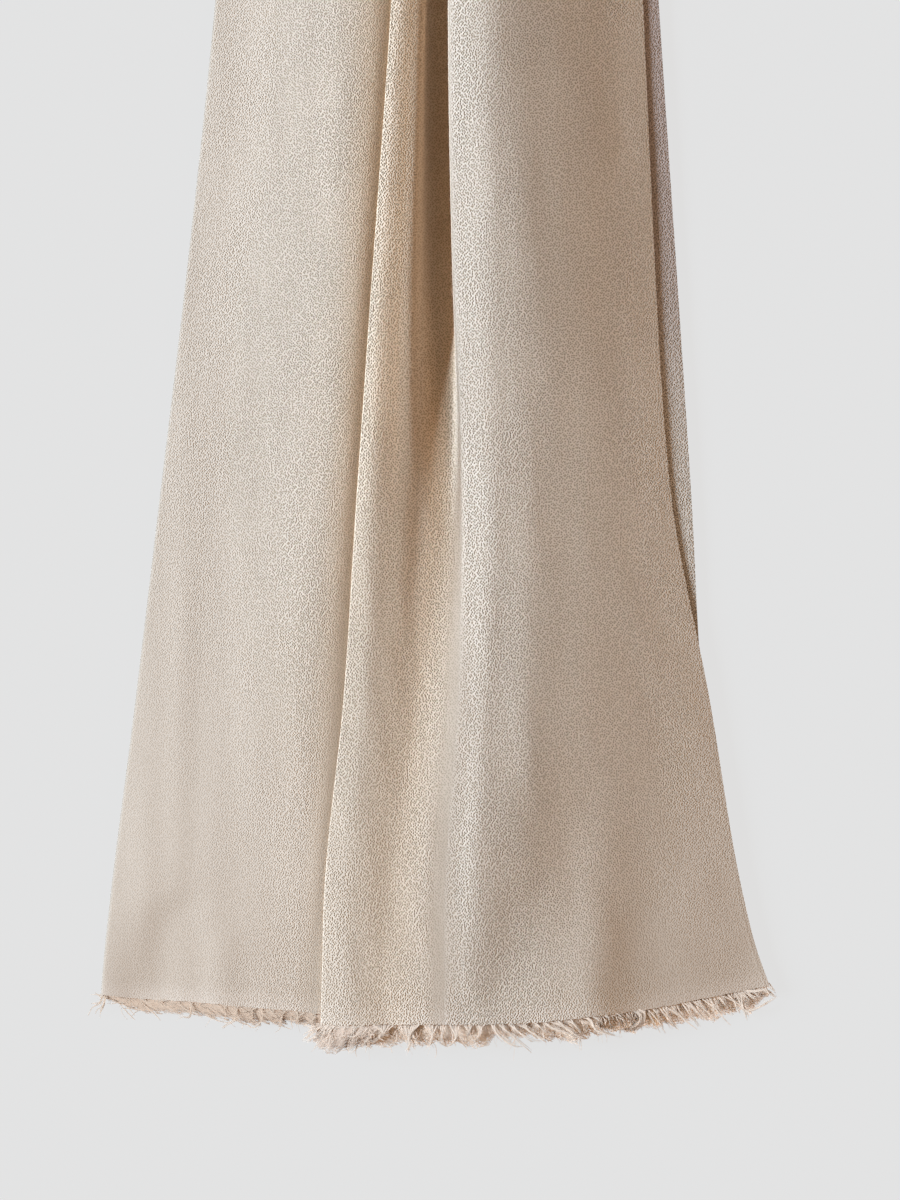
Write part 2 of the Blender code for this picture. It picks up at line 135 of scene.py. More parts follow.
FRONT_LINES = (
    Line("tucked end", 3, 2.6, -7.3,
         (-46.5, -45.8, -45, -35.5, -29, -25.5, -22, -11.5, 3),
         (7.7, 8.8, 10.5, 11.9, 13, 13.1, 13, 11.6, 9.2), Look(1, 1)),
    Line("hook", 4, 2.2, -7.4, beside(FIRST_EDGE, 2.1),
         (8.4, 9.5, 11.4, 13.2, 14.6, 15.1, 15.4, 14.8, 10.7), Look(0.9, 0.8, 0.85)),
    Line("first rolled edge", 4, 1.2, -7.5, FIRST_EDGE,
         (9.55, 10.65, 12.55, 14.65, 16.05, 16.55, 16.95, 16.55, 11.85),
         Look(0.7, 0.8, (0.86, 0.86, 0.86, 0.82, 0.76, 0.7, 0.7, 0.74, 0.8))),
    Line("lip of the small roll", 7, 0.4, -7.5, beside(FIRST_EDGE, 0.6),
         (9.7, 10.8, 12.7, 14.8, 16.3, 16.8, 17.2, 16.7, 12),
         Look(0.5, (1.2, 1.2, 1.2, 1.3, 1.8, 2.6, 2.8, 2.8, 2.8),
              (0.91, 0.91, 0.88, 0.81, 0.77, 0.72, 0.73, 0.79, 0.84))),
    Line("small roll", 8, 0, -7.5,
         (-42, -43, -44, -34, -31, -28.7, -26, -16.5, -1),
         (11.4, 12.5, 14.3, 16.3, 17.45, 17.75, 17.95, 17.2, 12.6),
         Look(0.4, (1.3, 1.3, 1.3, 1.4, 2.4, 3.4, 3.8, 3.8, 3.8),
              (0.94, 0.94, 0.92, 0.86, 0.92, 1.03, 1.07, 1.02, 1))),
    Line("small roll's back", 7, 0, -7.4,
         (-34, -34, -35, -26, -20, -18.4, -16.6, -10, 5),
         (11.6, 12.7, 14.7, 16.1, 16.4, 16.7, 17, 16.6, 12.3),
         Look((0.6, 0.6, 0.6, 0.6, 0.65, 0.75, 0.75, 0.7, 0.7),
              (1.3, 1.3, 1.3, 1.4, 2, 2.4, 2.2, 1.8, 1.8),
              (0.96, 0.96, 0.94, 0.87, 0.88, 0.92, 0.96, 0.97, 0.97))),
    Line("valley rim", 5, 0, -7.2,
         (-28, -28, -28, -18, -12, -9.5, -8.4, -3.9, 10),
         (11.6, 12.7, 14.6, 15.4, 15.2, 15.1, 15.5, 14.9, 11.5),
         Look((0.8, 0.8, 0.8, 0.7, 0.5, 0.25, 0.2, 0.25, 0.4),
              (1.6, 1.6, 1.6, 1.8, 2.2, 1.7, 0.9, 0.7, 0.7),
              (0.96, 0.96, 0.94, 0.9, 0.9, 0.91, 0.91, 0.92, 0.92))),
    Line("valley's left", 6, 0, -7.1,
         (-24, -24, -23, -13, -6, -5.6, -4.6, -2.8, 13),
         (11.6, 12.7, 14.4, 14.85, 13.5, 12.9, 10.6, 8.6, 10.8),
         Look((0.8, 0.8, 0.8, 0.7, 0.5, 0.2, 0.15, 0.2, 0.4),
              (1.6, 1.6, 1.6, 2, 2.6, 2, 0.8, 0.6, 0.6),
              (0.97, 0.97, 0.96, 0.93, 0.92, 0.88, 0.82, 0.86, 0.86))),
    Line("valley", 7, 0, -7,
         (-17, -17, -17, -8, -0.5, 0.2, 2.2, 2.6, 16),
         (11.9, 13, 14.5, 14.4, 12.4, 9.6, 4.2, 3.2, 10.3),
         Look((0.7, 0.7, 0.7, 0.75, 0.8, 0.85, 0.85, 0.9, 1),
              (1.6, 1.6, 1.6, 2.2, 2.8, 2.4, 1.4, 1.2, 1.2),
              (1, 1, 1, 0.98, 0.95, 0.84, 0.82, 0.8, 0.8))),
    Line("foot of the second roll", 4, 0, -7,
         (-10, -10, -10, -2, 5, 6, 12, 12.6, 22),
         (12.3, 13.4, 14.9, 14.5, 11.7, 9, 3.7, 3.2, 10.1),
         Look((0.5, 0.5, 0.5, 0.6, 0.8, 0.9, 1, 1, 1),
              (1.6, 1.6, 1.6, 2.2, 2.8, 2.6, 1.4, 1.2, 1.2),
              (1, 1, 1, 0.98, 0.92, 0.88, 0.9, 0.8, 0.8))),
    Line("wall of the second roll", 4, 0, -7,
         (-4, -4, -4, 4, 9.6, 10.6, 12.6, 11.6, 25),
         (12.6, 13.7, 15.3, 15, 11.7, 9.7, 11.7, 12.8, 10.3),
         Look((0.3, 0.3, 0.3, 0.4, 0.5, 0.6, 0.8, 0.9, 0.9), 1.6,
              (1, 1, 1, 0.98, 0.92, 0.74, 0.9, 0.85, 0.85))),
    Line("second rolled edge", 5, 0, -7,
         (1, 1, 1, 8, 12.2, 12.4, 10.7, 8.1, 28),
         (12.8, 14, 15.6, 15.5, 12.3, 12.3, 13, 14.2, 10.5),
         Look(0.3, 0.5, (0.92, 0.92, 0.92, 0.92, 0.9, 0.68, 0.84, 0.92, 0.92))),
    Line("brow", 4, 0, -7,
         (6, 6, 6, 13, 14.8, 13.7, 11.4, 8.7, 31),
         (12.8, 14.1, 15.7, 16, 12.35, 12.5, 13.15, 14.45, 10.8),
         Look(0, 0.3, (0.95, 0.95, 0.95, 0.97, 1, 0.84, 0.9, 0.95, 0.95))),
    Line("behind the brow", 8, 0, -7.1,
         (12, 12, 12, 18, 18, 17.1, 15.2, 13, 34),
         (12.85, 14.25, 15.9, 16.3, 12.85, 13.05, 13.9, 15.25, 11), Look(0, 1.8, 0.95)),
    Line("broad panel's crest", 9, 0, -7.2,
         (22, 22, 22, 28, 32, 32.7, 32.5, 27, 38),
         (13, 14.6, 16.95, 17.35, 15.35, 15.45, 16.8, 17.55, 11.2), Look(0, 2.5, 0.93)),
    Line("shoulder of the crest", 14, 0, -6.6,
         (42, 42, 42, 47, 48, 48.2, 48, 43, 48),
         (13.4, 13.9, 15.7, 16.75, 14.55, 14.5, 15.75, 16.25, 10.2), Look(0, 3, 0.95)),
    Line("broad panel", 9, 0, -4.6,
         (66, 66, 66, 76, 72, 68.9, 66, 64, 60),
         (13.5, 13.3, 13.2, 13.1, 11.55, 12, 13.2, 12.5, 8.4),
         Look(0, (1.2, 1.2, 1.5, 1.8, 2.7, 2.8, 2.8, 2.6, 2.6))),
    Line("broad panel's middle", 12, 0, -2.6,
         (84, 84, 86, 92, 84, 80.7, 78, 75, 66),
         (12.3, 12.3, 11.3, 10.5, 9.65, 10, 10.9, 10, 7.2),
         Look(0, (0.8, 0.8, 1, 1.5, 2.5, 2.8, 2.8, 2.6, 2.6))),
    Line("broad panel's right", 14, 0, 1,
         (112, 112, 112, 114, 100, 96.4, 94, 89, 74),
         (8.1, 8.1, 7.6, 6.8, 6.8, 7, 7.4, 6.7, 5.4),
         Look(0, (0.3, 0.3, 0.5, 1.2, 2, 2.2, 2.2, 2, 2))),
    Line("selvedge", 0, 0, 12,
         (169, 161.8, 155.5, 139, 120, 115.4, 112.5, 105.5, 84),
         (3.3, 3.3, 3.3, 3.2, 3.4, 3.7, 3.8, 3.5, 2.9),
         Look(0, (0.3, 0.3, 0.4, 0.6, 0.9, 0.9, 0.9, 0.9, 0.9))),
)

# The ply behind lies under the front stretch, so a line has only a greatest height.
BehindLine = namedtuple("BehindLine", "name cells hem most_z x")
BEHIND_LINES = (
    BehindLine("hidden edge", 8, 3, NO_LIMIT,
               (120, 115, 110, 98, 84, 80, 77, 69, 56)),
    BehindLine("under the panel", 12, 5, NO_LIMIT,
               (137, 132, 127, 114, 102, 97.6, 94, 86, 67)),
    BehindLine("under the selvedge", 16, 8.5, 2.95,
               (152, 147, 141, 126, 118, 114.6, 111.5, 103.5, 80)),
    BehindLine("back selvedge", 0, 10.5, 2.2,
               (163, 157, 151, 136, 130, 126.8, 123.5, 113.5, 90)),
)

BEHIND_LOOK = Look(1, 1.6, 0.95)

# What lies uppermost, from the left: the hidden plies' hem follows these lines.
UPPERMOST = SIDE_LINES[2:9] + FRONT_LINES[2:]

# The hidden plies' edges.
HIDDEN_LEFT = (-161.2, -159.2, -156.2, -143.7, -131.7, -125.6, -119.7, -103.7, -79.2)
HIDDEN_RIGHT = (153, 147, 141, 126, 120, 116.5, 113, 103.5, 81)
HIDDEN_SETBACK = 2.5  # how far their hem lies inside the sheets' hems
HIDDEN_END = 3  # how far they run on into the crosswise fold
PLIES = 3
PLY_TREAD = 2.2  # how far in from one ply's edge the next one's lies
PLY_RISE = 0.9  # and how much higher
PLY_NOSE = 0.6  # length over which a ply's edge rounds up
NOSE_SHARES = (0, 0.08, 0.25, 0.5, 0.8, 1)  # the grid lines on a nose
PLY_FLAT = 0.6  # the flat strip behind the last nose
HIDDEN_ACROSS = 46  # grid lines across the flat middle
HIDDEN_ROWS = 4  # one grid row for so many of the sheets'
LEAST_HIDDEN = 0.3  # the least height of the hidden plies
CLEAR_ABOVE = 0.8  # the hidden plies' top stays this far under the sheets' middle
LOOK_ROUND = 3  # taken over this far to each side

# Soft creases, listed one by one. Along its way from start to end up the cloth a crease
# passes evenly through its x places. width is half its breadth, height is + for a ridge.
Crease = namedtuple("Crease", "name start end x width height")
FRONT_CREASES = (
    Crease("right of the crest", 60, 500, (30, 36, 36, 35), 6, -0.45),
    Crease("long ridge", 70, 330, (48, 49, 50, 50), 5, 0.15),
    Crease("beside the long ridge", 60, 560, (58, 68, 70, 64), 6, -0.1),
    Crease("pit by the hem", 4, 66, (31, 34, 38, 42), 6, -0.32),
    Crease("second pit", 4, 76, (42, 45, 50, 56), 7, -0.25),
    Crease("flare at the hem", -20, 110, (79, 79, 82, 86), 10, 0.35),
    Crease("trough beside the flare", -20, 60, (97, 97, 100, 106), 9, -0.25),
    Crease("low ridge by the corner", -10, 80, (126, 128, 130, 134), 12, 0.25),
    Crease("corner dip", -20, 30, (160, 158, 156, 154), 7, -0.3),
    Crease("upper streak", 330, 760, (60, 54, 49, 45), 7, -0.2),
    Crease("far ridge", 560, 930, (40, 38, 42, 48), 9, 0.9),
    Crease("far trough", 600, 935, (62, 58, 60, 64), 8, -0.7),
)
SIDE_CREASES = (
    Crease("long soft trough", 90, 420, (-118, -112, -106, -100), 9, -0.15),
    Crease("thin ridge", 40, 240, (-128, -127, -124, -120), 4, 0.1),
    Crease("arc by the hem", -16, 62, (-147, -140, -134, -120), 12, -0.7),
    Crease("bulge by the hem", -20, 45, (-108, -107, -105, -102), 9, 0.45),
    Crease("far soft ridge", 520, 900, (-80, -76, -70, -64), 10, 0.8),
    Crease("far soft trough", 560, 935, (-58, -54, -50, -46), 8, -0.7),
)

# What is left of a sheet's shade, relief and tone at each station.
SIDE_SHARES = Look(
    (0.3, 0.35, 0.4, 0.6, 0.85, 1, 1, 1, 1),
    (0.2, 0.2, 0.22, 0.4, 0.85, 1, 1, 1, 1),
    (1.05, 1.05, 1.04, 1.01, 0.99, 0.98, 0.98, 0.985, 1),
)
FRONT_SHARES = Look(
    (0.3, 0.35, 0.4, 0.6, 0.85, 1, 1, 1, 1),
    (0.75, 0.75, 0.8, 0.95, 1, 1, 1, 1, 1),
    (0.97, 0.97, 0.97, 0.99, 1, 1, 0.99, 0.96, 0.96),
)
BACK_SHARES = Look((0, 0, 0, 0, 0, 0.22, 0.65, 1, 1), level(1), level(1))
CREASE_FADE = 0.22  # share of its length over which a crease's ends fade

# Waves that no crease names: they lie all over the cloth, longer along than across.
RIPPLES = 14
RIPPLE_HEIGHT = 0.011
RIPPLE_ACROSS = (14, 40)
RIPPLE_ALONG = (60, 260)
RIPPLE_START = 6.3  # radians, about a full turn

# ---- the cloth's finish
# Tints multiply a colour's parts.
NO_TINT = (1, 1, 1)
PIT_TINT = (0.77, 0.74, 0.685)  # the grain's pits, a little warmer
TOP_TINT = (1.21, 1.24, 1.3)
# painted shade: the tint of cloth that light reaches only by way of other cloth
FOLD_SHADE = (1.25, 1.12, 0.94)
BACK_TINT = (0.94, 0.97, 1)
# painted shade on the ply behind, darker towards the crosswise fold as BACK_SHARES say
BEHIND_SHADE = (0.755, 0.69, 0.72)

# The grain: dimples on a turned lattice. Places in a grain are shares of its breadth.
FRONT_LOOSE = 1.08  # the front's grains, times the side's
GRAIN_TURN = 0.72  # radians
GRAIN_SCALE = (1, 0.95, 1)
GRAIN_DISORDER = 0.68
DIMPLE = (0.04, 0.50)  # a dimple's floor and its rim
DIMPLE_MEAN = 0.73
SPECK_LIFT = 0.15  # how much some grains stand above others
PATCH_SHARE = 0.35  # share of the relief that comes and goes in patches
RELIEF_CURB = 0.15  # how much a strong relief is held back
SELVEDGE_LINE = (0.0014, 0.0019, 0.0024, 0.0030)  # metres in: it rises, then falls
LINE_LIFT = 0.08  # how much the selvedge's line stands out
LENGTHWISE = (1, 0.4, 1)  # draws patches and mottle out along the cloth
FRAYED_HEM = 0.012  # metres above the hem over which the cloth gets fairer

# Noises: how many waves a metre, their detail and their roughness.
DRIFT_NOISE = (260.0, 1.0, 0.5)
PATCH_NOISE = (45.0, 3.0, 0.55)
MOTTLE_NOISE = (110.0, 3.0, 0.6)
STREAK_NOISE = (1500.0, 3.0, 0.6)
FELT_NOISE = (220.0, 2.0, 0.5)
YARN_NOISE = (260.0, 2.0, 0.6)
FIBRE_NOISE = (1500.0, 1.0, 0.5)
PATCH_ENDS = (0.36, 0.60)  # noise at which a patch begins and is whole

# How much each of these does to the tone, from 0, the pits' colour, to 1, the tops'.
MIDDLE_TONE = 0.54
SPECK_TONE, DIMPLE_TONE = 0.35, 1.25
PLAIN_TONE, RELIEF_TONE = 0.2, 0.6
MOTTLE_TONE = 0.08
FRAYED_TONE = 0.25

# ---- the grid
ROW_BANDS = ((0, 40, 24), (40, 530, 196), (530, 941, 58))  # from, to, rows
FOLD_TURNS = 12
SMOOTHINGS = 3
KEPT, FROM_BESIDE, FROM_ALONG = 0.5, 0.2, 0.05  # a place's share, and its neighbours'
CRISP_ANGLE = 50  # degrees between faces, past which a shell's rim is sharp
CRISP_HIDDEN = 60
MAP_ASIDE = 400  # moves the hidden plies' map clear of the selvedge's line

# ---- the fringes
# A lock takes the yarns between start and end of the hem. They meet where its way starts,
# and follow it to its tip. The way's places are x and distance up from the hem's datum.
Lock = namedtuple("Lock", "start end way")

# A zone of locks of no set places. spacing: between locks. gather: how far out a lock's
# yarns meet. lean: its direction, in degrees from straight out, + to the right. turn: how
# far it bends on its way. spread: how far its yarns part again. apart: between its thick
# yarns at the hem. hairs: thin ones for each millimetre of hem.
Zone = namedtuple("Zone", "start end spacing gather lean length turn spread apart hairs")

# A matted band along a hem, of yarns that lie every way. reach: how far out it goes.
Mat = namedtuple("Mat", "start end reach density lean length")

FRONT_LOCKS = (
    Lock(-31, -17, ((-24.5, -12), (-29, -15.5), (-33.5, -17.5))),
    Lock(-16.8, -4.8, ((-11.6, -14.5), (-11, -17), (-13.2, -22))),
    Lock(-10.5, -4.8, ((-9.8, -14), (-8.9, -16), (-8.8, -19.8))),
    Lock(-4.6, 3.2, ((0.2, -13.8), (-0.6, -16.4), (-3.6, -20.2))),
    Lock(3.2, 8, ((5, -15.4), (5.6, -17.5), (7.2, -19))),
    Lock(8.2, 14.2, ((11.6, -14.4), (9, -17.6), (5.6, -20.8))),
    Lock(14.4, 21, ((18.6, -11.5), (18, -14), (16.8, -16.6))),
    Lock(21.2, 27.4, ((24, -11), (22.6, -14), (21, -18))),
    Lock(27.6, 32, ((31.6, -9.5), (35, -13.6), (40.5, -17.4), (47.5, -18.6))),
    Lock(32, 36.5, ((36.4, -9.4), (40, -12.5), (44, -15.8), (50.2, -21.2))),
    Lock(36.5, 41, ((42, -9.2), (45.5, -12.2), (50, -15), (55, -16.2))),
    Lock(41, 47, ((47.5, -8.6), (51.5, -11.6), (56, -14.6), (60.4, -16.4))),
    Lock(47, 52, ((53, -7.6), (57, -10.5), (63, -12.6))),
    Lock(52, 57.5, ((58.5, -7.8), (64, -10), (70, -13), (73.5, -19))),
    Lock(57.5, 63.5, ((65, -7), (70.5, -10.6), (74.6, -14.8), (74.8, -20))),
    Lock(63.5, 70.5, ((70.5, -6.6), (74, -10.5), (76, -15))),
    Lock(70.5, 78.5, ((80, -5.4), (81.5, -8.8), (87.5, -11.4), (95.5, -13.2))),
    Lock(78.5, 84, ((83.5, -5), (84, -8), (83, -11))),
    Lock(84, 90, ((88.6, -4), (89.6, -7.6), (92, -10.4))),
    Lock(90, 96.5, ((95, -3.5), (97.6, -7), (100.4, -8.6))),
)
FRONT_ZONES = (
    Zone(-55.5, -30.5, 3.4, 4.5, -48, 12, 25, 1.6, 1.1, 4),
    Zone(96, 104, 2.6, 4, 5, 8, 50, 1.8, 1.1, 3),
    Zone(104, 152, 4.6, 11, 42, 13.5, 10, 0.4, 2.2, 0.5),
    Zone(82, 104, 3, 6, 20, 10, 30, 1, 1.3, 1),
    Zone(106, 150, 9, 11, 38, 19, 14, 0.5, 3.4, 0.4),
    Zone(152, 169.5, 2.8, 5, 52, 8.5, 30, 1, 1.2, 2),
)
FRONT_TUFTS = (
    Lock(101, 106.5, ((105.8, -1.2), (106, -5), (102.5, -9), (95, -11))),
    Lock(99.5, 105, ((104.4, -2.6), (104, -6), (100, -9), (93.5, -9.6))),
    Lock(94.5, 97.5, ((94.8, 2), (96.5, -1.8), (101, -4.4))),
    Lock(154, 159, ((160.5, 9), (167.5, 9.6), (172.5, 5.8))),
    Lock(154, 157, ((156.6, -0.8), (163, 0.6), (168.5, 3.6), (173, 6.4))),
    Lock(151, 155, ((155, 2), (157, -1.6), (157.6, -5.4))),
)
FRONT_MATS = (Mat(-57, -22, 11.5, 6, -66, 8),)
SIDE_ZONES = (
    Zone(-158, -112, 9, 2, 70, 8.5, 40, 2, 4, 0.8),
    Zone(-112, -78, 11, 2.5, 45, 10, 90, 2.5, 5, 0.5),
    Zone(-78, -54.5, 9, 2.5, -30, 10, 80, 3, 5, 0.5),
)
SIDE_LOCKS = (
    Lock(-165.7, -164.3, ((-166.2, 3.6), (-169.5, 2.8), (-174, 3.4))),
    Lock(-165.6, -164.6, ((-166, 4.8), (-168, 6.8), (-171.2, 8.8))),
    Lock(-165.6, -164, ((-166.6, 2.6), (-170, 0.4), (-172, -4))),
    Lock(-165.2, -163, ((-166, 1.6), (-168.4, -0.8), (-169, -4.6))),
    Lock(-164.8, -162.4, ((-164.8, 1), (-165.8, -1.4), (-165.2, -4.6))),
    Lock(-86, -84.5, ((-85.5, -5), (-90, -9), (-94.5, -6.5), (-95.5, -9.5))),
    Lock(-99, -96.5, ((-99, -6), (-103, -8.5), (-105, -10.8))),
    Lock(-122, -119, ((-122, -4), (-126, -3.6), (-127.5, -6.6))),
)
SIDE_MATS = (
    Mat(-165, -158, 4.5, 1.6, 74, 6),
    Mat(-159, -120, 7.4, 1.2, 78, 11),
    Mat(-120, -92, 8.6, 1.2, 72, 11),
    Mat(-92, -68, 6.5, 1.2, 60, 9),
    Mat(-70, -55, 8.5, 1.8, -50, 7),
)
UNDER_ZONES = (Zone(-40, 120, 5, 4, 10, 12, 60, 3, 2, 2),)
UNDER_MATS = (
    Mat(-42, 22, 11.5, 4, 60, 7),
    Mat(20, 50, 7, 4, 60, 6),
    Mat(50, 122, 9.5, 4, 60, 6),
)
BACK_ZONES = (
    Zone(104, 150, 4, 3.5, 35, 9, 50, 2, 2, 2),
    Zone(150, 163, 3, 3, 50, 7, 50, 2, 2, 2),
)
BACK_MATS = (Mat(104, 160, 7.5, 6, 60, 6),)

# A fringe is made of these. In locks and tufts the yarns lie closer than in zones.
Fringe = namedtuple("Fringe", "seed tint zones locks tufts mats", defaults=((), (), ()))
SIDE_FRINGE = Fringe(21, (0.82, 0.76, 0.70), SIDE_ZONES, SIDE_LOCKS, mats=SIDE_MATS)
FRONT_FRINGE = Fringe(
    22, (0.98, 0.96, 0.94), FRONT_ZONES, FRONT_LOCKS, FRONT_TUFTS, FRONT_MATS,
)
BACK_FRINGE = Fringe(23, (1.12, 1.08, 1.04), BACK_ZONES, mats=BACK_MATS)
UNDER_FRINGE = Fringe(24, (1.02, 0.97, 0.93), UNDER_ZONES, mats=UNDER_MATS)

# A felted band along a hem. reach: how far out it goes at these x. lean: of its streaks,
# from straight out. root_shade: painted shade, how much darker it is under the hem.
# fair: how much lighter it is painted to the right, where shade falls on it.
Felt = namedtuple("Felt", "x reach lean root_shade tint seed fair", defaults=(0,))
SIDE_FELT = Felt(
    (-165.5, -159, -152, -140, -127, -115, -102, -90, -77, -65, -54),
    (3, 5, 7.6, 6.4, 7.6, 8.2, 9.4, 8.6, 7.2, 8.6, 11),
    76, 0, (0.83, 0.76, 0.70), 41,
)
FRONT_FELT = Felt(
    (-55.4, -52, -44, -34, -27, -20), (8, 12, 13, 13, 11, 4),
    -60, 0, (0.88, 0.85, 0.84), 42,
)
# Its tint lifts it over the wool's colour: painted light, against the front cloth's shade.
UNDER_FELT = Felt(
    (-40, -15, 0, 12, 22, 28, 40, 55, 66, 79, 92, 108, 123, 146),
    (12.5, 11.5, 11, 12, 11.5, 8, 7.5, 10, 12, 9.5, 10.5, 9.5, 8, 6.5),
    60, 0.22, (1.24, 1.24, 1.22), 43, 1.4,
)
# Its tint lifts it over the wool's colour: painted light, against the front cloth's shade.
BACK_FELT = Felt(
    (112, 120, 133, 146, 158, 168), (9, 11, 10, 9.5, 10, 3),
    50, 0.18, (1.36, 1.37, 1.37), 44,
)
FELT_DARK = (0.85, 0.80, 0.76)  # the tint of its darkest streaks
FELT_LIGHT = 1.12  # how bright its lightest are
PAINTED_LIGHT_FROM = (0.072, 0.1)  # between these places across, in metres
STREAK_LENGTH = 4.5  # times a streak's breadth
STREAK_HEIGHT = 0.00012  # metres
FELT_PATCHES = 0.7  # how much it differs in tone from patch to patch
FELT_FULL, FELT_RAGGED, FELT_FADE = 1.08, 1.6, 0.42  # where and how it thins out
ROOT_REACH = 0.45  # share of its way out over which its root is darker
FELT_CELL = 0.5
FELT_ROWS = 9
FELT_INSIDE = 1.2  # it starts this far inside the hem
FELT_THICKNESS = 0.15
FELT_BELOW = 0.18  # and this far under the cloth's middle
FELT_REST = 0.42  # height of its outer edge, as a share of the hem's
FELT_SAG = 2.0  # over 1, it leaves the hem level and bends down after
FELT_UNEVEN = 0.12  # how uneven its height is
FELT_SLANT = 0.3  # how far its cells follow its streaks
RAGGED = (0.85, 1.2)  # shares of its reach that its edge goes out, changing
RAGGED_CELLS = 5  # over so many cells

UNDER_FROM, UNDER_TO = -42.0, 147.0  # the hidden plies' fringe, across
UNDER_SETBACK = 1.2  # it starts this far inside the front hem
UNDER_DROP = 0.5  # and this far below it
UNDER_PLACES = 95  # it is measured at so many places
ROUNDNESS = 0.2  # how much of its true facing loose wool keeps
WOOL_FACING = (-0.12, 0.02, 1.0)  # where the rest of it faces
FACES_DOWN = -0.3  # facings below this stay as they are

# What a lock is filled with. spread, apart and hairs are as a zone's.
Fill = namedtuple("Fill", "spread apart hairs")
LOCK_FILL = Fill(0.9, 1.6, 1.0)
TUFT_FILL = Fill(0.6, 0.7, 5.0)

YARN_ENDS = (0.84, 1.16)  # brightness of the darkest and the lightest yarns
YARN_TONE, FIBRE_TONE = 0.9, 0.3  # how much tone differs from yarn to yarn, and along one
FIBRE_HEIGHT = 0.00005  # metres

# How a lock's yarns and hairs go. aside: off its way. stray: share of its spread that they
# take. reach: shares of the way that they go. waver: from step to step.
Strand = namedtuple("Strand", "aside stray reach waver")
YARN = Strand(0.3, 0.45, (0.72, 1.0), 0.05)
HAIR = Strand(0.5, 1.0, (0.35, 1.05), 0.10)
# From lock to lock, as shares of what its zone says.
LOCK_BREADTHS, LOCK_LENGTHS, LOCK_GATHERS = (0.6, 1.4), (0.7, 1.15), (0.8, 1.2)
MOST_GATHER = 0.6  # share of a lock's length at which its yarns meet at the latest
LEAN_STRAY = 9  # degrees
TURN_STRAY = 0.6  # share of its zone's turn
YARN_SIZES = (0.8, 1.15)  # shares of a yarn's thickness
HAIR_SIZE = 0.34  # a hair's
MAT_SIZES = (0.8, 0.5, 0.35, 0.35)  # one of these for a matted yarn
YARN_STEPS = 10  # points on a yarn
MAT_STEPS = 6  # steps on a matted one
MAT_INSIDE = 0.9  # a matted yarn goes up to this far inside the hem
MAT_HEIGHT = 0.12  # and lies up to this far above the felt
MAT_BACKWARD = 0.3  # share of them that point back
MAT_CROWD = 1.2  # over 1, more of them lie near the hem
MAT_REACHES, MAT_LENGTHS = (0.7, 1.05), (0.5, 1.3)  # shares, from yarn to yarn
MAT_END, MAT_END_RUN = 0.35, 5  # its reach at its ends, and the way to its full reach
MAT_STRAY = 15  # degrees
MAT_TURN, MAT_WAVER = 0.15, 0.1  # radians, for each step
MAT_RISE = 0.08  # how much it goes up or down, for each step
MAT_TAPER, MAT_TAPER_BEND = 0.55, 1.5  # what is gone at its tips, and how late
ROOT_INSIDE = 1.6  # a yarn starts up to this far inside the hem
ROOT_SPAN = (0.3, 0.7)  # where in its share of the hem a yarn starts
ROOT_TAPER = 0.45  # a yarn's thickness at its root, as a share
ROOT_PARTS = 5  # it is full after the first of so many parts of its length
TIP_TAPER = 0.6  # how much of it is gone at its tip
TIP_TAPER_BEND = 1.6  # over 1, more of it goes near the tip
TIP_HEIGHT = (0.05, 0.3)  # how far above the felt's edge a tip rests
HEM_WANDER = 0.3  # how unevenly the cloth ends
LEAST_Z = 0.25  # no loose wool lies lower

# Loose hairs along a rolled edge. before and after: grid columns round its line.
Fuzz = namedtuple("Fuzz", "line before after first_row hairs length")
FUZZ = (
    Fuzz("second rolled edge", 2, 1, 100, 900, 1.2),
    Fuzz("first rolled edge", 1, 1, 10, 250, 0.6),
)
FUZZ_SEED = 31
FUZZ_THICKNESS = 0.1
FUZZ_SHARES = (0.0, 0.4, 0.75, 1.0)  # a hair's points, as shares of its length
FUZZ_STRAY = 0.7  # how far a hair leans off upright
FUZZ_BEND = 0.6  # and how much it bends
FUZZ_LENGTHS = (0.4, 1.2)  # shares, from hair to hair
FUZZ_END = 3  # grid rows short of the crosswise fold

# ---- the stage
VIEW_CENTRE = (9.0, 205.0)  # x, and up from the hem's datum, of the picture's middle
VIEW_HEIGHT = 600.0  # how much of the length is in the picture
VIEW_LEVEL = 8.0  # at this height
VIEW_FARTHEST = 100.0  # metres
SENSOR = 36.0  # the camera's sensor
FLOOR_SIZE = 60.0  # metres along each side
FLOOR_BELOW = 0.1  # how far the floor lies under the shawl
FILL_FADE = (18.0, 50.0)  # the fill fades between these heights over the horizon


def smooth(knots, values, at):
    """Values on a smooth curve through the knots."""
    knots, values, at = (np.asarray(v, float) for v in (knots, values, at))
    step = np.diff(knots)
    rise = np.diff(values) / step
    slope = np.empty(len(knots))
    slope[0], slope[-1] = rise[0], rise[-1]
    slope[1:-1] = (rise[:-1] * step[1:] + rise[1:] * step[:-1]) / (step[:-1] + step[1:])
    i = np.clip(np.searchsorted(knots, at, side="right") - 1, 0, len(step) - 1)
    f = (at - knots[i]) / step[i]
    start = (1 + 2 * f) * (1 - f) ** 2 * values[i] + f * (1 - f) ** 2 * step[i] * slope[i]
    end = f * f * (3 - 2 * f) * values[i + 1] - f * f * (1 - f) * step[i] * slope[i + 1]
    return start + end


def section(lines, up, finer=1):
    """x, z, nest and hem of each grid line across a sheet, at this distance up."""
    x = [float(smooth(STATIONS, line.x, up)) for line in lines]
    z = [float(smooth(STATIONS, line.z, up)) for line in lines]
    knots = np.concatenate([[0], np.cumsum(np.hypot(np.diff(x), np.diff(z)) ** 0.5)])
    at = [
        knots[i] + (knots[i + 1] - knots[i]) * k / (line.cells * finer)
        for i, line in enumerate(lines[:-1])
        for k in range(line.cells * finer)
    ] + [knots[-1]]
    nest = [line.nest for line in lines]
    hem = [line.hem for line in lines]
    return [smooth(knots, values, at) for values in (x, z, nest, hem)]


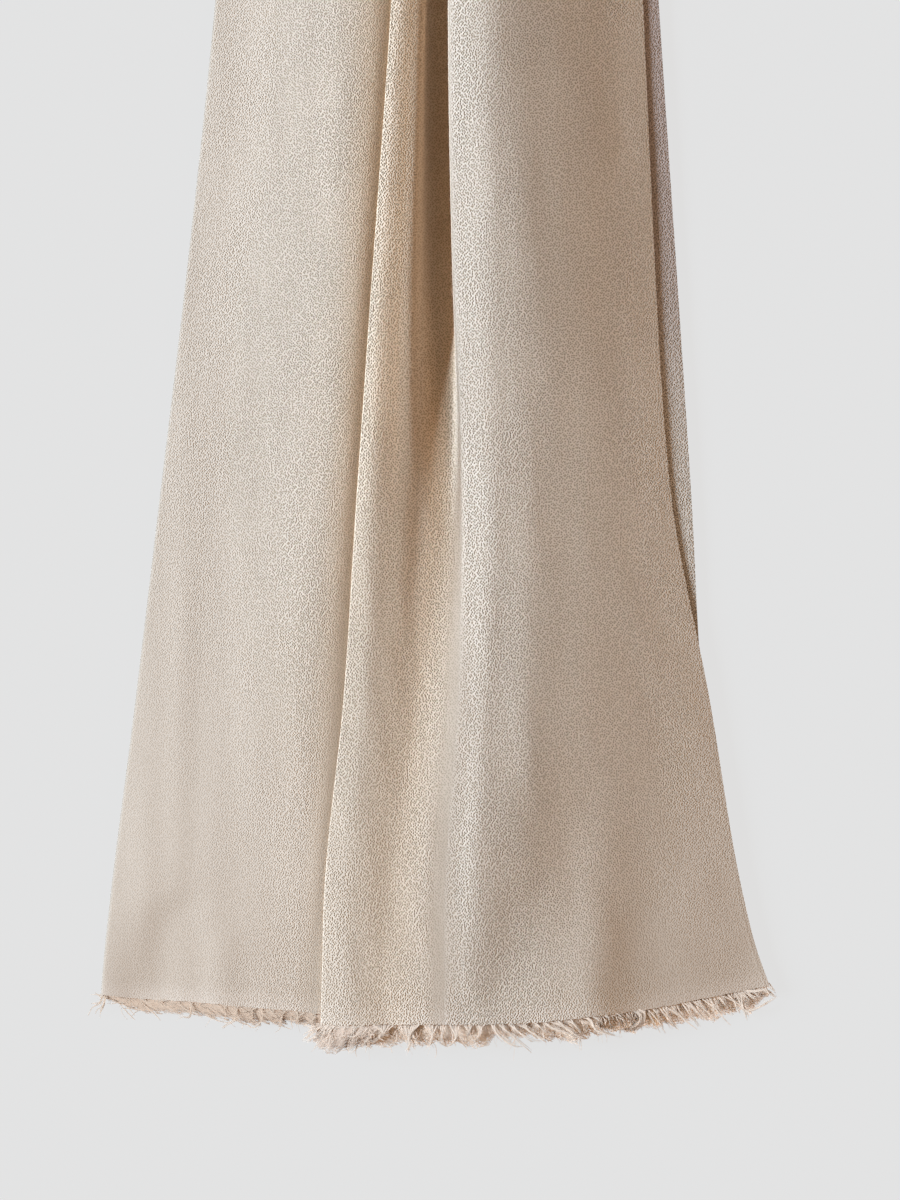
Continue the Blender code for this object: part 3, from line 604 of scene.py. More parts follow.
def lowest(lines, up, start, end):
    """The sheet's lowest height between two places across, or None past its edges."""
    x, z, _, _ = section(lines, up, finer=FINE)
    within = z[(x >= start - LOOK_ASIDE) & (x <= end + LOOK_ASIDE)]
    return float(within.min()) if len(within) else None


def behind_lines():
    """The ply behind as lines: as high as the front stretch over it lets it be."""
    lines = []
    for line in BEHIND_LINES:
        heights = []
        for up, x in zip(STATIONS, line.x):
            above = lowest(FRONT_LINES, up, x, x)
            room = line.most_z if above is None else above - STACK
            heights.append(min(line.most_z, room))
        shape = (line.cells, BEHIND_NEST, line.hem, line.x, tuple(heights))
        lines.append(Line(line.name, *shape, BEHIND_LOOK))
    return tuple(lines)


def rows():
    """Distance up and angle round the crosswise fold of each grid row."""
    ups = [np.linspace(start, end, count, endpoint=False) for start, end, count in ROW_BANDS]
    straight = np.append(np.concatenate(ups), HEM_TO_FOLD - FOLD_REACH)
    turns = np.linspace(0, math.pi / 2, FOLD_TURNS + 1)[1:]
    up = np.concatenate([straight, np.full(FOLD_TURNS, straight[-1])])
    return up, np.concatenate([np.zeros(len(straight)), turns])


def crease_heights(creases, x, up):
    """What the creases add to the cloth's height at these places."""
    added = np.zeros_like(x)
    for crease in creases:
        ways = np.linspace(crease.start, crease.end, len(crease.x))
        middle = smooth(ways, crease.x, np.clip(up, crease.start, crease.end))
        along = (up - crease.start) / (crease.end - crease.start)
        fade = np.clip(np.minimum(along, 1 - along) / CREASE_FADE, 0, 1)
        fade = fade * fade * (3 - 2 * fade)
        across = np.exp(-(((x - middle) / crease.width) ** 2))
        added += crease.height * fade * across
    return added


def ripple_heights(across, up, seed):
    """Low waves with no set places, in distance across the cloth and up it."""
    rng = random.Random(seed)
    added = np.zeros_like(across)
    for _ in range(RIPPLES):
        turns = across / rng.uniform(*RIPPLE_ACROSS) + up / rng.uniform(*RIPPLE_ALONG)
        added += np.sin(turns * 2 * math.pi + rng.uniform(0, RIPPLE_START))
    return added * RIPPLE_HEIGHT


def evened(values, times):
    """The grid's values, evened out with their neighbours, and its rim left alone."""
    for _ in range(times):
        inner = values[1:-1, 1:-1]
        beside = values[1:-1, :-2] + values[1:-1, 2:]
        along = values[:-2, 1:-1] + values[2:, 1:-1]
        values = values.copy()
        values[1:-1, 1:-1] = inner * KEPT + beside * FROM_BESIDE + along * FROM_ALONG
    return values


class Sheet:
    """The grid of a ply: its places, in millimetres, and its distances as cloth."""

    def __init__(self, lines, creases, shares, seed):
        up, turn = rows()
        parts = [section(lines, distance) for distance in up]
        x, z, nest, hem = (np.array([part[k] for part in parts]) for k in range(4))
        up, turn = up[:, None] + 0 * x, turn[:, None] + 0 * x
        step = np.hypot(np.diff(x, axis=1), np.diff(z, axis=1))
        across = np.concatenate([0 * x[:, :1], np.cumsum(step, axis=1)], axis=1)
        self.across = across - across[:, -1:]
        z = z + crease_heights(creases, x, up) + ripple_heights(self.across, up, seed)
        fade = np.clip(1 - up / HEM_FADE, 0, None) ** 2
        y = up + hem * fade + (FOLD_REACH - nest) * np.sin(turn)
        rng = random.Random(seed)
        y[0] += [rng.uniform(-HEM_WANDER, HEM_WANDER) for _ in y[0]]
        z = FOLD_FOOT + (z - FOLD_FOOT) * np.cos(turn)
        self.x, self.z = evened(x, SMOOTHINGS), evened(z, SMOOTHINGS)
        self.y = y + HEM_Y
        self.up = up
        starts = np.cumsum([0] + [line.cells for line in lines[:-1]])
        columns = np.arange(x.shape[1])
        grids = []
        for k, share in enumerate(shares):
            values = [np.array(share) * line.look[k] for line in lines]
            by_row = np.stack([smooth(STATIONS, value, up[:, 0]) for value in values], 1)
            grids.append([np.interp(columns, starts, value) for value in by_row])
        self.looks = Look(*(np.array(grid) for grid in grids))

    def hem(self):
        """The hem's places, x, y and z, from its furthest left on."""
        first = int(np.argmin(self.x[0]))
        return np.stack([self.x[0], self.y[0], self.z[0]], 1)[first:]


def grid_mesh(name, x, y, z):
    """A grid of quads whose vertices stand at x, y and z, given by row and column."""
    bm = bmesh.new()
    along, beside = x.shape[0] - 1, x.shape[1] - 1
    bmesh.ops.create_grid(bm, x_segments=beside, y_segments=along, size=0.5)
    mesh = bpy.data.meshes.new(name)
    bm.to_mesh(mesh)
    bm.free()
    flat = np.empty(len(mesh.vertices) * 3, np.float32)
    mesh.vertices.foreach_get("co", flat)
    unit = flat.reshape(-1, 3) + 0.5
    row, column = np.rint(unit[:, 1] * along), np.rint(unit[:, 0] * beside)
    row, column = row.astype(int), column.astype(int)
    places = np.stack([part[row, column] for part in (x, y, z)], 1) * MM
    mesh.vertices.foreach_set("co", places.astype(np.float32).ravel())
    mesh.update()
    return mesh, row, column


def lay_cloth_map(mesh, row, column, across, up, looks=Look(0.0, 1.0)):
    """A UV map in metres of cloth, across from the right edge and up from the hem."""
    # The looks go on the mesh as attributes: shade and tone carry painted shade and light.
    for key, values in looks._asdict().items():
        values = (values + 0 * up)[row, column]
        mesh.attributes.new(key, "FLOAT", "POINT")
        mesh.attributes[key].data.foreach_set("value", values.astype(np.float32))
    corner = np.empty(len(mesh.loops), np.int32)
    mesh.loops.foreach_get("vertex_index", corner)
    row, column = row[corner], column[corner]
    places = np.stack([across[row, column], up[row, column]], 1) * MM
    mesh.uv_layers.new(name="cloth")
    mesh.uv_layers["cloth"].data.foreach_set("uv", places.astype(np.float32).ravel())


def add_new(name, data):
    """A new object in the scene that holds this data."""
    obj = bpy.data.objects.new(name, data)
    bpy.context.scene.collection.objects.link(obj)
    return obj


def add_object(name, mesh, material):
    """An object that rides on the shawl's one body."""
    obj = add_new(name, mesh)
    mesh.materials.append(material)
    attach(obj, "root")
    return obj


def taken_mesh(holder):
    """The holder's finished mesh. The holder itself is removed."""
    graph = bpy.context.evaluated_depsgraph_get()
    mesh = bpy.data.meshes.new_from_object(holder.evaluated_get(graph))
    bpy.data.objects.remove(holder)
    return mesh


def thin_shell(mesh, thickness):
    """The mesh with walls on both sides of it, in its place."""
    name = mesh.name
    holder = add_new(name, mesh)
    wall = holder.modifiers.new("thickness", "SOLIDIFY")
    wall.thickness = thickness
    wall.offset = 0.0
    shell = taken_mesh(holder)
    bpy.data.meshes.remove(mesh)
    shell.name = name
    shell.shade_smooth()
    return shell


def even_shading(mesh):
    """Normals bent upwards, so that loose wool takes the light as evenly as a nap does."""
    normals = np.empty(len(mesh.vertices) * 3, np.float32)
    mesh.vertices.foreach_get("normal", normals)
    normals = normals.reshape(-1, 3)
    bent = normals * ROUNDNESS + np.array(WOOL_FACING)
    bent = np.where(normals[:, 2:] < FACES_DOWN, normals, bent)
    bent /= np.linalg.norm(bent, axis=1, keepdims=True)
    mesh.normals_split_custom_set_from_vertices(bent.tolist())


def add_cloth(name, sheet, material, settings):
    """A thin shell on a sheet's grid, with a crisp rim."""
    mesh, row, column = grid_mesh(name, sheet.x, sheet.y, sheet.z)
    lay_cloth_map(mesh, row, column, sheet.across, sheet.up, sheet.looks)
    shell = thin_shell(mesh, settings.thickness)
    shell.set_sharp_from_angle(angle=math.radians(CRISP_ANGLE))
    return add_object(name, shell, material)


# ---- materials
class Wire:
    """A shader socket that takes part in Python expressions."""

    def __init__(self, shader, socket):
        self.shader, self.socket = shader, socket

    def maths(self, operation, first, second):
        return self.shader.add("Math", {"operation": operation}, {0: first, 1: second})

    def __add__(self, other):
        return self.maths("ADD", self, other)

    def __sub__(self, other):
        return self.maths("SUBTRACT", self, other)

    def __rsub__(self, other):
        return self.maths("SUBTRACT", other, self)

    def __mul__(self, other):
        return self.maths("MULTIPLY", self, other)

    def within(self, low, high):
        """0 at low, 1 at high and smooth between."""
        ends = {0: self, 1: low, 2: high}
        return self.shader.add("MapRange", {"interpolation_type": "SMOOTHSTEP"}, ends)

    __radd__, __rmul__ = __add__, __mul__


class Nodes:
    """A node tree in the making."""

    def __init__(self, tree):
        self.tree = tree

    def add(self, kind, settings=None, sockets=None, out=0):
        """A node of this kind, its settings and its sockets' values or links set."""
        node = self.tree.nodes.new("ShaderNode" + kind)
        for key, value in (settings or {}).items():
            setattr(node, key, value)
        self.join(node, sockets or {})
        return Wire(self, node.outputs[out])

    def axis(self, places, name):
        """How far the places lie along this axis: X, Y or Z."""
        return self.add("SeparateXYZ", None, {"Vector": places}, out=name)

    def join(self, node, sockets):
        for key, value in sockets.items():
            if isinstance(value, Wire):
                self.tree.links.new(value.socket, node.inputs[key])
            else:
                node.inputs[key].default_value = value


class Shader(Nodes):
    """A material in the making, with its Principled shader at hand."""

    def __init__(self, name):
        self.material = bpy.data.materials.new(name)
        self.material.use_nodes = True
        super().__init__(self.material.node_tree)
        self.surface = self.tree.nodes["Principled BSDF"]

    def finish(self, **sockets):
        """The finished material, with these sockets of its Principled shader set."""
        self.join(self.surface, {k.replace("_", " "): v for k, v in sockets.items()})
        return self.material

    def mix(self, share, first, second, **settings):
        """A colour between two, by share."""
        ends = {0: share, 6: first, 7: second}
        return self.add("Mix", {"data_type": "RGBA", **settings}, ends, out=2)

    def noise(self, where, scale, detail, roughness, out=0):
        """Values round 0.5 that vary with place, or with out="Color" a colour of them."""
        sockets = {"Vector": where, "Scale": scale, "Detail": detail, "Roughness": roughness}
        return self.add("TexNoise", None, sockets, out)

    def kept(self, name):
        """A number that the mesh keeps at each of its points."""
        return self.add("Attribute", {"attribute_name": name}, out="Fac")

    def bump(self, height, distance, strength=1.0):
        """Facings of a surface as uneven as this."""
        sockets = {"Strength": strength, "Distance": distance, "Height": height}
        return self.add("Bump", None, sockets)


def tinted(colour, tint):
    """A colour, each of its parts times the tint's."""
    return [part * by for part, by in zip(colour, tint)]


def opaque(colour, brightness=1.0):
    """A colour setting as a socket's four numbers, made brighter or darker."""
    return (*(part * brightness for part in colour), 1.0)


def grains(shader, settings, loose):
    """How high the crepe is, from 0 on a dimple's floor, and a random value a grain."""
    place = shader.add("TexCoord", out="Object")
    drift = shader.noise(place, *DRIFT_NOISE, out="Color")
    turned = {"Vector": place, "Rotation": (0.0, 0.0, GRAIN_TURN), "Scale": GRAIN_SCALE}
    upright = shader.add("Mapping", None, turned)
    sway = {0: drift, 1: (settings.grain_drift,) * 3, 2: upright}
    woven = shader.add("VectorMath", {"operation": "MULTIPLY_ADD"}, sway)
    scale = 1 / (settings.grain_size * loose)
    cell = {"Vector": woven, "Scale": scale, "Randomness": GRAIN_DISORDER}
    flat = {"voronoi_dimensions": "2D"}
    speck = shader.add("TexVoronoi", flat, cell, out="Color")
    speck = shader.add("SeparateColor", None, {0: speck})
    return shader.add("TexVoronoi", flat, cell).within(*DIMPLE), speck


def crepe_material(name, settings, loose=1.0, tint=NO_TINT, shade=FOLD_SHADE):
    """Fine crepe wool: a pebbled grain in patches, uneven colour and a firm selvedge, with
    painted shade and painted light from the mesh's shade and tone.

    loose: how many times as broad as the settings' the grains are.
    """
    shader = Shader(name)
    dimple, speck = grains(shader, settings, loose)
    cloth = shader.add("UVMap", {"uv_map": "cloth"})
    stretched = shader.add("Mapping", None, {"Vector": cloth, "Scale": LENGTHWISE})
    patches = shader.noise(stretched, *PATCH_NOISE).within(*PATCH_ENDS)
    mottle = shader.noise(stretched, *MOTTLE_NOISE)
    inwards = shader.axis(cloth, "X") * -1.0
    line = inwards.within(*SELVEDGE_LINE[:2]) * (1 - inwards.within(*SELVEDGE_LINE[2:]))
    frayed = 1 - shader.axis(cloth, "Y").within(0.0, FRAYED_HEM)
    relief = shader.kept("relief")
    raised = (patches * PATCH_SHARE + (1 - PATCH_SHARE)) * relief
    raised = raised * (1 + RELIEF_CURB - relief * RELIEF_CURB)
    height = (dimple + speck * SPECK_LIFT) * raised + line * LINE_LIFT
    grain = (speck - 0.5) * SPECK_TONE + (dimple - DIMPLE_MEAN) * DIMPLE_TONE
    grain = grain * settings.grain_tone * (relief * RELIEF_TONE + PLAIN_TONE)
    tone = grain + (mottle - 0.5) * MOTTLE_TONE + MIDDLE_TONE + frayed * FRAYED_TONE
    wool = tinted(settings.colour, tint)
    # Lit and shaded copies of the wool: painted shade, mixed in by the mesh's shade.
    plain, shaded = (
        shader.mix(tone, opaque(tinted(dyed, PIT_TINT)), opaque(tinted(dyed, TOP_TINT)))
        for dyed in (wool, tinted(wool, shade))
    )
    colour = shader.mix(shader.kept("shade"), plain, shaded)
    black = opaque((0.0, 0.0, 0.0))
    # Painted light and shade: the colour made lighter or darker by the mesh's tone.
    colour = shader.mix(shader.kept("tone"), black, colour, clamp_factor=False)
    return shader.finish(
        Base_Color=colour, Roughness=0.95, Specular_IOR_Level=0.15,
        Normal=shader.bump(height, settings.grain_height),
        Sheen_Weight=settings.sheen, Sheen_Roughness=0.5,
        Sheen_Tint=opaque(settings.nap_colour),
    )


def felt_material(name, settings, felt):
    """Felted wool: streaks that lie aslant, painted shade under the hem, painted light to
    the right where asked, and thinner far out.
    """
    shader = Shader(name)
    place = shader.add("TexCoord", out="Object")
    cloth = shader.add("UVMap", {"uv_map": "cloth"})
    aslant = {
        "Vector": place, "Rotation": (0.0, 0.0, math.radians(felt.lean - 90)),
        "Scale": (STREAK_LENGTH, 1.0, 1.0),
    }
    aslant = shader.add("Mapping", {"vector_type": "TEXTURE"}, aslant)
    streaks = shader.noise(aslant, *STREAK_NOISE)
    patches = shader.noise(place, *FELT_NOISE)
    out = shader.axis(cloth, "Y")
    fair = shader.axis(cloth, "X").within(*PAINTED_LIGHT_FROM) * felt.fair
    under = (1 - out.within(0.0, ROOT_REACH)) * felt.root_shade
    tone = streaks + (patches - 0.5) * FELT_PATCHES + fair - under
    colour = tinted(settings.colour, felt.tint)
    dark, light = opaque(tinted(colour, FELT_DARK)), opaque(colour, FELT_LIGHT)
    return shader.finish(
        Base_Color=shader.mix(tone, dark, light, clamp_factor=False), Roughness=0.95,
        Alpha=(FELT_FULL - out + (streaks - 0.5) * FELT_RAGGED).within(0.0, FELT_FADE),
        Normal=shader.bump(streaks, STREAK_HEIGHT), Specular_IOR_Level=0.1,
        Sheen_Weight=settings.sheen, Sheen_Tint=opaque(settings.nap_colour),
    )


def yarn_material(name, settings, tint=NO_TINT):
    """Raveled wool, whose colour varies from yarn to yarn and along each."""
    shader = Shader(name)
    place = shader.add("TexCoord", out="Object")
    patches = shader.noise(place, *YARN_NOISE)
    fine = shader.noise(place, *FIBRE_NOISE)
    tone = (patches - 0.5) * YARN_TONE + 0.5 + (fine - 0.5) * FIBRE_TONE
    colour = tinted(settings.colour, tint)
    return shader.finish(
        Base_Color=shader.mix(tone, *(opaque(colour, end) for end in YARN_ENDS)),
        Roughness=0.9, Normal=shader.bump(fine, FIBRE_HEIGHT, 0.5), Specular_IOR_Level=0.15,
        Sheen_Weight=settings.sheen, Sheen_Tint=opaque(settings.nap_colour),
    )


def floor_material(settings):
    """A pale matt ground, lit from within a little so that it shows no hard shade."""
    shader = Shader("floor")
    return shader.finish(
        Base_Color=opaque(settings.floor_colour, settings.floor_shade), Roughness=1.0,
        Specular_IOR_Level=0.0, Emission_Color=opaque(settings.floor_colour),
        Emission_Strength=settings.floor_glow,
    )


# ---- yarns
def yarn_mesh(name, yarns, thickness, flatness=1.0):
    """Many tapered yarns as one mesh. A yarn is a list of x, y, z and share of thickness.

    They are built taller by flatness and then pressed flat by as much.
    """
    curve = bpy.data.curves.new(name, "CURVE")
    curve.dimensions = "3D"
    curve.bevel_depth = thickness / 2
    curve.bevel_resolution = 0
    curve.use_fill_caps = True
    for yarn in yarns:
        spline = curve.splines.new("POLY")
        spline.points.add(len(yarn) - 1)
        for point, (x, y, z, share) in zip(spline.points, yarn):
            point.co = (x * MM, y * MM, z * MM * flatness, 1.0)
            point.radius = share
    mesh = taken_mesh(add_new(name, curve))
    bpy.data.curves.remove(curve)
    bm = bmesh.new()
    bm.from_mesh(mesh)
    bmesh.ops.scale(bm, verts=bm.verts, vec=(1.0, 1.0, 1 / flatness))
    bmesh.ops.remove_doubles(bm, verts=bm.verts, dist=MM / 10000)
    bmesh.ops.recalc_face_normals(bm, faces=bm.faces)
    bm.to_mesh(mesh)
    bm.free()
    mesh.name = name
    mesh.shade_smooth()
    return mesh


def felt_height(hem_z, share):
    """Height of the felted band at this share of its way out from the hem."""
    top = hem_z - FELT_BELOW
    return top - (top - hem_z * FELT_REST) * share ** FELT_SAG


def hem_at(hem, x):
    """The hem's y and z at these places across."""
    return [np.interp(x, hem[:, 0], hem[:, k]) for k in (1, 2)]


def lock_yarns(lock, fill, hem, rng, settings):
    """The yarns and hairs of a lock: they leave the hem apart, meet and go on together."""
    width = lock.end - lock.start
    thick = round(width / fill.apart * settings.fullness)
    fine = round(width * fill.hairs * settings.fullness)
    yarns = []
    for index in range(thick + fine):
        hair = index >= thick
        kind = HAIR if hair else YARN
        share = rng.random() if hair else (index + rng.uniform(*ROOT_SPAN)) / thick
        x = lock.start + width * share
        root_y, root_z = hem_at(hem, x)
        aside = [rng.gauss(0, kind.aside) for _ in range(2)]
        stray = [rng.gauss(0, fill.spread * kind.stray) for _ in range(2)]
        places = [(x, root_y - HEM_Y + ROOT_INSIDE * rng.random())]
        for step, way in enumerate(lock.way):
            gone = step / (len(lock.way) - 1)
            places.append([way[k] + aside[k] + stray[k] * gone for k in range(2)])
        x_way, y_way = np.array(places).T
        knots = np.concatenate([[0], np.cumsum(np.hypot(np.diff(x_way), np.diff(y_way)))])
        reach = knots[-1] * rng.uniform(*kind.reach)
        at = np.linspace(0, min(reach, knots[-1]), YARN_STEPS)
        rest = root_z * FELT_REST + rng.uniform(*TIP_HEIGHT)
        z = np.maximum(LEAST_Z, root_z - (root_z - rest) * (at / knots[-1]) ** FELT_SAG)
        waver = [rng.gauss(0, kind.waver) for _ in at]
        gone = at / at[-1]
        root = ROOT_TAPER + (1 - ROOT_TAPER) * np.clip(gone * ROOT_PARTS, 0, 1)
        size = (HAIR_SIZE if hair else rng.uniform(*YARN_SIZES)) * root
        size = size * (1 - TIP_TAPER * gone ** TIP_TAPER_BEND)
        x, y = smooth(knots, x_way, at), smooth(knots, y_way, at)
        yarns.append(list(zip(x + waver, y + HEM_Y, z, size)))
    return yarns


def zone_locks(zone, hem, rng):
    """A zone's locks, each on a bent way of its own."""
    count = max(1, round((zone.end - zone.start) / zone.spacing))
    shares = [rng.uniform(*LOCK_BREADTHS) for _ in range(count)]
    edges = zone.start + np.cumsum([0] + shares) / sum(shares) * (zone.end - zone.start)
    locks = []
    for left, right in zip(edges, edges[1:]):
        heading = math.radians(zone.lean + rng.gauss(0, LEAN_STRAY))
        turn = math.radians(zone.turn) * rng.gauss(0, TURN_STRAY)
        length = zone.length * rng.uniform(*LOCK_LENGTHS)
        gather = min(zone.gather * rng.uniform(*LOCK_GATHERS), length * MOST_GATHER)
        x = (left + right) / 2
        up = float(hem_at(hem, x)[0]) - HEM_Y
        way = []
        for reach in (gather, (length - gather) / 2, (length - gather) / 2):
            x += math.sin(heading) * reach
            up -= math.cos(heading) * reach
            way.append((x, up))
            heading += turn / 2
        locks.append(Lock(left, right, tuple(way)))
    return locks


def mat_yarns(mat, hem, rng, settings):
    """Short yarns that lie every way in a band along the hem."""
    yarns = []
    for _ in range(round((mat.end - mat.start) * mat.density * settings.fullness)):
        x = rng.uniform(mat.start, mat.end)
        hem_y, hem_z = (float(place) for place in hem_at(hem, x))
        inside = hem_y + MAT_INSIDE
        out = rng.random() ** MAT_CROWD
        ends = min(1.0, MAT_END + min(x - mat.start, mat.end - x) / MAT_END_RUN)
        y = inside - out * mat.reach * rng.uniform(*MAT_REACHES) * ends
        heading = math.radians(mat.lean + rng.gauss(0, MAT_STRAY))
        heading += (rng.random() < MAT_BACKWARD) * math.pi
        step = mat.length * rng.uniform(*MAT_LENGTHS) / MAT_STEPS
        turn = rng.gauss(0, MAT_TURN)
        z = max(LEAST_Z, felt_height(hem_z, out) + rng.uniform(0.0, MAT_HEIGHT))
        size = rng.choice(MAT_SIZES)
        points = []
        for index in range(MAT_STEPS + 1):
            taper = 1 - MAT_TAPER * abs(index / (MAT_STEPS / 2) - 1) ** MAT_TAPER_BEND
            points.append((x, y, z, size * taper))
            heading += turn + rng.gauss(0, MAT_WAVER)
            x += math.sin(heading) * step
            y = min(y - math.cos(heading) * step, inside)
            z = max(LEAST_Z, z + rng.gauss(0, MAT_RISE))
        yarns.append(points)
    return yarns


def fringe_yarns(hem, fringe, settings):
    """The yarns of a fringe along the hem that they hang from."""
    rng = random.Random(fringe.seed)
    yarns = []
    for mat in fringe.mats:
        yarns += mat_yarns(mat, hem, rng, settings)
    for zone in fringe.zones:
        for lock in zone_locks(zone, hem, rng):
            yarns += lock_yarns(lock, zone, hem, rng, settings)
    for locks, fill in ((fringe.locks, LOCK_FILL), (fringe.tufts, TUFT_FILL)):
        for lock in locks:
            yarns += lock_yarns(lock, fill, hem, rng, settings)
    return yarns


def add_fringe(name, node, hem, fringe, settings):
    """A fringe of loose yarns that stands for one of the frame's."""
    yarns = fringe_yarns(hem, fringe, settings)
    mesh = yarn_mesh(name, yarns, settings.thickness, settings.flatness)
    even_shading(mesh)
    material = yarn_material(name, settings, fringe.tint)
    obj = add_object(name, mesh, material)
    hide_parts(node)
    return obj


def add_felt(name, hem, felt, settings):
    """A felted band along a hem: a thin, uneven sheet whose outer edge is ragged."""
    rng = random.Random(felt.seed)
    along = np.arange(felt.x[0], felt.x[-1], FELT_CELL)
    knots = along[::RAGGED_CELLS]
    ragged = np.interp(along, knots, [rng.uniform(*RAGGED) for _ in knots])
    reach = smooth(felt.x, felt.reach, along) * ragged
    share = np.linspace(0, 1, FELT_ROWS)[:, None]
    hem_y, hem_z = hem_at(hem, along)
    x = along + reach * share * math.tan(math.radians(felt.lean)) * FELT_SLANT
    y = hem_y + FELT_INSIDE - (reach + FELT_INSIDE) * share
    z = felt_height(hem_z, share)
    z = z + [[rng.uniform(-FELT_UNEVEN, FELT_UNEVEN) for _ in along] for _ in share]
    mesh, row, column = grid_mesh(name, x, y, np.maximum(z, LEAST_Z))
    lay_cloth_map(mesh, row, column, x, share / MM + 0 * x)
    shell = thin_shell(mesh, FELT_THICKNESS * MM)
    even_shading(shell)
    return add_object(name, shell, felt_material(name, settings, felt))


def fuzz_hairs(sheet, columns, rows_range, count, rng, length):
    """Short hairs that stand off a sheet, between these columns and rows."""
    places = np.stack([sheet.x, sheet.y, sheet.z], -1)
    hairs = []
    for _ in range(count):
        row = rng.randint(*rows_range)
        column = rng.randint(*columns)
        beside = min(column + 1, sheet.x.shape[1] - 1)
        across = places[row, beside] - places[row, beside - 1]
        onward = places[row + 1, column] - places[row, column]
        normal = np.cross(across, onward)
        normal /= np.linalg.norm(normal)
        way = normal + [rng.gauss(0, FUZZ_STRAY) for _ in range(3)]
        way /= np.linalg.norm(way)
        bend = np.array([rng.gauss(0, FUZZ_BEND) for _ in range(3)])
        reach = length * rng.uniform(*FUZZ_LENGTHS)
        hair = []
        for share in FUZZ_SHARES:
            x, y, z = places[row, column] + (way + bend * share * 0.5) * reach * share
            hair.append((x, y, max(LEAST_Z, z), 1.0 - TIP_TAPER * share))
        hairs.append(hair)
    return hairs


# ---- hidden plies
def ply_height(inset):
    """Height of the plies' rounded edges, this far in from the body's edge."""
    height = np.zeros_like(inset)
    for ply in range(PLIES):
        share = np.clip((inset - ply * PLY_TREAD) / PLY_NOSE, 0, 1)
        height += PLY_RISE * np.sqrt(1 - (1 - share) ** 2)
    return np.where(inset > PLIES * PLY_TREAD, NO_LIMIT, height)


def ply_insets():
    """Insets from the edge at which the grid lines lie, close together on each nose."""
    noses = [ply * PLY_TREAD + PLY_NOSE * np.array(NOSE_SHARES) for ply in range(PLIES)]
    flat = PLIES * PLY_TREAD
    return np.concatenate(noses + [[flat, flat + PLY_FLAT]])


def roof(sheets, x, up):
    """How high the hidden plies may lie at these places, clear of the sheets over them."""
    roofs = np.full(len(x), NO_LIMIT)
    for sheet in sheets:
        row = min(len(sheet.up) - 1, int(np.searchsorted(sheet.up[:, 0], up)))
        for k, place in enumerate(x):
            near = np.abs(sheet.x[row] - place) < LOOK_ROUND
            if near.any():
                roofs[k] = min(roofs[k], sheet.z[row][near].min())
    return np.maximum(LEAST_HIDDEN, roofs - CLEAR_ABOVE)


def hidden_grid():
    """The places of the hidden plies' grid: x, y and z."""
    insets = ply_insets()
    rim = insets[-1]
    straight = HEM_TO_FOLD - FOLD_REACH
    end = straight + HIDDEN_END
    middle = np.unique(rows()[0])[::HIDDEN_ROWS]
    middle = middle[(middle > rim + 1) & (middle < end - rim - 1)]
    sheets = (side_sheet(), front_sheet(), back_sheet())
    hem_x, hem_back = zip(*((line.x[0], line.hem) for line in UPPERMOST))
    sections = []
    for up in np.concatenate([insets, middle, end - insets[::-1]]):
        station = min(up, straight)
        left = float(smooth(STATIONS, HIDDEN_LEFT, station))
        right = float(smooth(STATIONS, HIDDEN_RIGHT, station))
        inner = np.linspace(left + rim, right - rim, HIDDEN_ACROSS)[1:-1]
        x = np.concatenate([left + insets, inner, right - insets[::-1]])
        inset = np.minimum(np.minimum(x - left, right - x), min(up, end - up))
        z = np.minimum(ply_height(inset), roof(sheets, x, station))
        fade = max(0.0, 1 - up / HEM_FADE) ** 2
        y = up + (np.interp(x, hem_x, hem_back) + HIDDEN_SETBACK) * fade + HEM_Y
        sections.append((x, y, np.where(inset <= 0, 0.0, z)))
    return [np.array(part) for part in zip(*sections)]


def close_below(mesh):
    """Closes an open shell with a flat face, and turns its faces outwards."""
    bm = bmesh.new()
    bm.from_mesh(mesh)
    bmesh.ops.holes_fill(bm, edges=[e for e in bm.edges if e.is_boundary])
    bmesh.ops.recalc_face_normals(bm, faces=bm.faces)
    if bm.calc_volume(signed=True) < 0:
        bmesh.ops.reverse_faces(bm, faces=bm.faces)
    bm.to_mesh(mesh)
    bm.free()


# ---- settings
def length_setting(name, description, default):
    return bpy.props.FloatProperty(
        name=name, description=description, default=default, min=0.0,
        unit="LENGTH", subtype="DISTANCE", precision=5,
    )


def colour_setting(name, description, default):
    return bpy.props.FloatVectorProperty(
        name=name, description=description, default=default, size=3, min=0.0, max=1.0,
        subtype="COLOR",
    )


def share_setting(name, description, default, most=1.0):
    return bpy.props.FloatProperty(
        name=name, description=description, default=default, min=0.0, max=most,
        subtype="FACTOR",
    )


def angle_setting(name, description, degrees):
    return bpy.props.FloatProperty(
        name=name, description=description, default=math.radians(degrees), subtype="ANGLE",
    )


class ClothSettings(bpy.types.PropertyGroup):
    """The woven cloth."""

    colour: colour_setting("Colour", "The wool's colour", (0.617, 0.508, 0.412))
    nap_colour: colour_setting("Nap colour", "The nap's colour", (0.9, 0.84, 0.78))
    thickness: length_setting("Thickness", "How thick the cloth is", 0.0005)
    grain_size: length_setting("Grain size", "Breadth of the crepe's grains", 0.00101)
    grain_height: length_setting("Grain height", "How far the grains stand out", 0.00026)
    grain_tone: share_setting("Grain tone", "How much the grains differ in tone", 1.1, 3.0)
    grain_drift: length_setting("Grain drift", "How far the grains stray", 0.0005)
    sheen: share_setting("Sheen", "How much the nap shows at the edges", 0.12)


